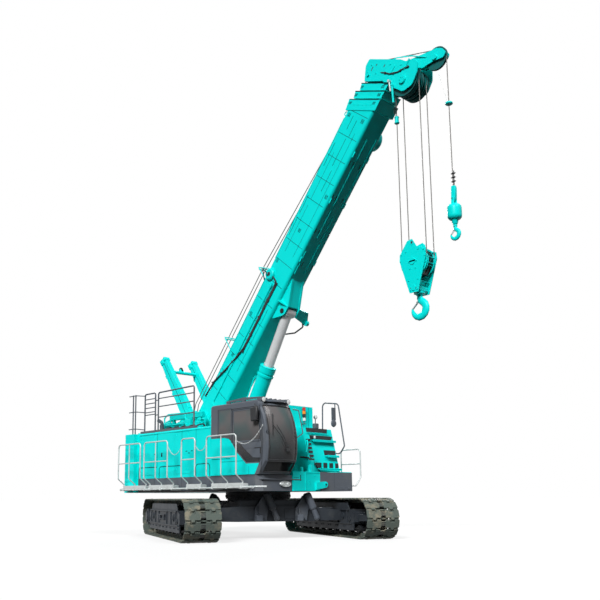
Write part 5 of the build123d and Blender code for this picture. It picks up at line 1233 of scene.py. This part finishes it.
# The hook block's sheaves take the same dark turquoise: painted shade.
bm = bmesh.new()
for y in (-0.155, -0.105, 0.0, 0.105, 0.155):
    turned(bm, [(0.05, -0.008), (0.315, -0.008), (0.322, 0), (0.315, 0.008), (0.05, 0.008), (0.05, -0.008)],
           main_place @ moved(0, y, 0) @ SIDE, steps=36)
fresh("block_sheaves", sheave_painted_shade, "main_block", bm)


def forged(bm, stations, at):
    """A forged bar through stations of (x, z, half width, half depth), closed at both ends."""
    rings = []
    for i, (x, z, wide, deep) in enumerate(stations):
        ahead, behind = stations[min(i + 1, len(stations) - 1)], stations[max(i - 1, 0)]
        way = Vector((ahead[0] - behind[0], 0, ahead[1] - behind[1])).normalized()
        across = Vector((0, 1, 0)).cross(way)
        turn = Matrix((across, (0, 1, 0), way)).transposed().to_4x4()
        place = at @ moved(x, 0, z) @ turn @ Matrix.Diagonal((wide, deep, 1, 1))
        ring = bmesh.ops.create_circle(bm, radius=1, segments=20, matrix=place)["verts"]
        rings.append(list({e for v in ring for e in v.link_edges}))
    for low, high in zip(rings, rings[1:]):
        bmesh.ops.bridge_loops(bm, edges=low + high)
    bmesh.ops.holes_fill(bm, edges=rings[0] + rings[-1], sides=0)


HOOK = [(0, 0.02, 0.24), (0, -0.30, 0.25), (0.0, -0.55, 0.30), (0.10, -0.78, 0.34), (0.32, -0.98, 0.36),
        (0.52, -1.18, 0.37), (0.62, -1.45, 0.37), (0.60, -1.75, 0.38), (0.45, -2.05, 0.38),
        (0.18, -2.27, 0.37), (-0.14, -2.34, 0.34), (-0.45, -2.24, 0.29), (-0.68, -2.04, 0.24),
        (-0.80, -1.80, 0.18), (-0.85, -1.58, 0.12), (-0.87, -1.42, 0.05)]
for name, body, x, z, size, deep, steel in (
        ("main_hook_forging", "main_block", MAIN.x, MAIN.z - 0.6603, 0.235, 0.052, "main_hook"),
        ("aux_hook_forging", "aux_block", AUX.x, 6.6073, 0.130, 0.033, "aux_hook")):
    bm = bmesh.new()
    taper = [deep] * 12 + [deep * 0.9, deep * 0.75, deep * 0.55, deep * 0.35]
    forged(bm, [(sx * size, sz * size, wide * size, thick) for (sx, sz, wide), thick in zip(HOOK, taper)],
           moved(x, 0, z))
    turned(bm, [(0, -0.34 * size), (0.30 * size, -0.34 * size), (0.34 * size, -0.27 * size),
                (0.34 * size, -0.12 * size), (0.30 * size, -0.05 * size), (0, -0.05 * size)], moved(x, 0, z),
           steps=20)
    hook = fresh(name, turquoise, body, bm)
    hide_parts(steel)
    bm = bmesh.new()
    for wide, narrow in ((-0.018, -0.012), (0.018, 0.012)):
        bar(bm, (x - 0.30 * size, wide, z - 0.98 * size), (x - 0.84 * size, narrow, z - 1.50 * size),
            0.05 * size, 8)
    stud(bm, x - 0.22 * size, (-0.05, 0.05), z - 0.92 * size, 0.07 * size, 10)
    fresh(name.replace("forging", "latch"), silver, body, bm)

# Falls: plain steel wire ropes between the head's sheaves and the blocks.
for name, rope, below, spots in (
        ("main_ropes", "main_falls", "main_block", ((-1, -1), (-1, 1), (1, -1), (1, 1))),
        ("aux_rope", "aux_fall", "aux_block", ((0, 0),))):
    low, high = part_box(rope)
    middle = (low + high) / 2
    reach = (high - low) / 2
    bm = bmesh.new()
    for a, b in spots:
        x = middle.x - SHIFT + a * (reach.x - ROPE_RADIUS)
        y = middle.y + b * (reach.y - ROPE_RADIUS)
        stud(bm, x, y, (low.z, high.z), ROPE_RADIUS)
    falls = fresh(name, rope_steel, None, bm)
    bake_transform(falls)
    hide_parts(rope)

# Auxiliary weight: a turned cast body with round shoulders below a wedge socket. Its swivel carries the
# small hook, and clips hold the rope's dead end above.
bm = bmesh.new()
aux_place = Matrix.Translation(AUX)
turned(bm, [(0, -0.395), (0.045, -0.395), (0.075, -0.405), (0.120, -0.425), (0.146, -0.462), (0.151, -0.51),
            (0.151, -0.665), (0.145, -0.705), (0.118, -0.738), (0.085, -0.752), (0.070, -0.775),
            (0.062, -0.82), (0.045, -0.855), (0, -0.862)], aux_place, steps=32)
plate(bm, [(-0.030, 0.0), (0.045, 0.0), (0.058, -0.06), (0.048, -0.27), (0.030, -0.31), (-0.030, -0.31),
           (-0.046, -0.25), (-0.040, -0.06)], 0.084, aux_place @ moved(0, 0.042, 0) @ SIDE, 0.010)
for hand in (-1, 1):
    plate(bm, [(-0.034, -0.25), (0.034, -0.25), (0.040, -0.42), (-0.040, -0.42)], 0.014,
          aux_place @ moved(0, hand * 0.052 + 0.007, 0) @ SIDE, 0.003)
stud(bm, 0, (-0.068, 0.068), -0.285, 0.020, 12, aux_place)
weight = fresh("aux_weight_body", turquoise, "aux_block", bm)
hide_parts("aux_weight")
bm = bmesh.new()
for hand in (-1, 1):
    stud(bm, 0, (hand * 0.06, hand * 0.071), -0.285, 0.012, 8, aux_place)
bar(bm, (0.026, 0, -0.02), (0.030, 0, 0.34), 0.010, 8, aux_place)
for z in (0.10, 0.19, 0.28):
    block(bm, (-0.022, 0.052), (-0.020, 0.020), about(z, 0.014), aux_place, 0.005)
    for hand in (-1, 1):
        stud(bm, (-0.040, 0.072), hand * 0.014, z, 0.0055, 6, aux_place)
fresh("rope_clips", roller_steel, "aux_block", bm)

# Overhoist limits: a turned weight rings one fall of each rope, below a switch at the head. The small
# one hangs by a steel line, and the main one has a coiled lead, a rod and a turnbuckle above it.
bm = bmesh.new()
ring_place = moved(MAIN.x - 0.3211, -0.137, 9.34)
turned(bm, [(0.016, 0), (0.046, 0), (0.0575, 0.014), (0.0575, 0.028), (0.046, 0.04), (0.046, 0.14),
            (0.055, 0.152), (0.046, 0.17), (0.016, 0.17), (0.016, 0)], ring_place)
fresh("overhoist_main", turquoise, "main_falls", bm)
bm = bmesh.new()
bar(bm, (0.05, -0.17, 0.44), (0.05, -0.205, 0.84), 0.026, 12, ring_place)
bar(bm, (0.05, -0.205, 0.84), (0.05, -0.21, 0.88), 0.034, 12, ring_place)
fresh("overhoist_rod", turquoise, "top_section", bm)
bm = bmesh.new()
bar(bm, (0.01, -0.212, 0.72), (-0.02, -0.215, 0.98), 0.017, 10, ring_place)
stud(bm, -0.02, (-0.245, -0.165), 0.98, 0.03, 12, ring_place)
fresh("overhoist_turnbuckle", silver, "top_section", bm)
bm = bmesh.new()
stud(bm, 0, -0.045, (0.17, 0.46), 0.005, 6, ring_place)
COILS = 5
for i in range(COILS):
    turned(bm, [(0.028, 0), (0.040, 0.006), (0.028, 0.012), (0.028, 0)],
           ring_place @ moved(0, -0.045, 0.24 + i * 0.03), steps=14)
fresh("overhoist_lead", black, "main_falls", bm)
bm = bmesh.new()
turned(bm, [(0.018, 0), (0.070, 0), (0.082, 0.012), (0.082, 0.036), (0.070, 0.048), (0.018, 0.048),
            (0.018, 0)], moved(AUX.x, 0, 9.336))
fresh("overhoist_aux", turquoise, "aux_fall", bm)
bm = bmesh.new()
bar(bm, (AUX.x, -0.060, 9.384), (6.02, -0.075, 10.16), 0.0045, 6)
fresh("overhoist_line", silver, "aux_fall", bm)
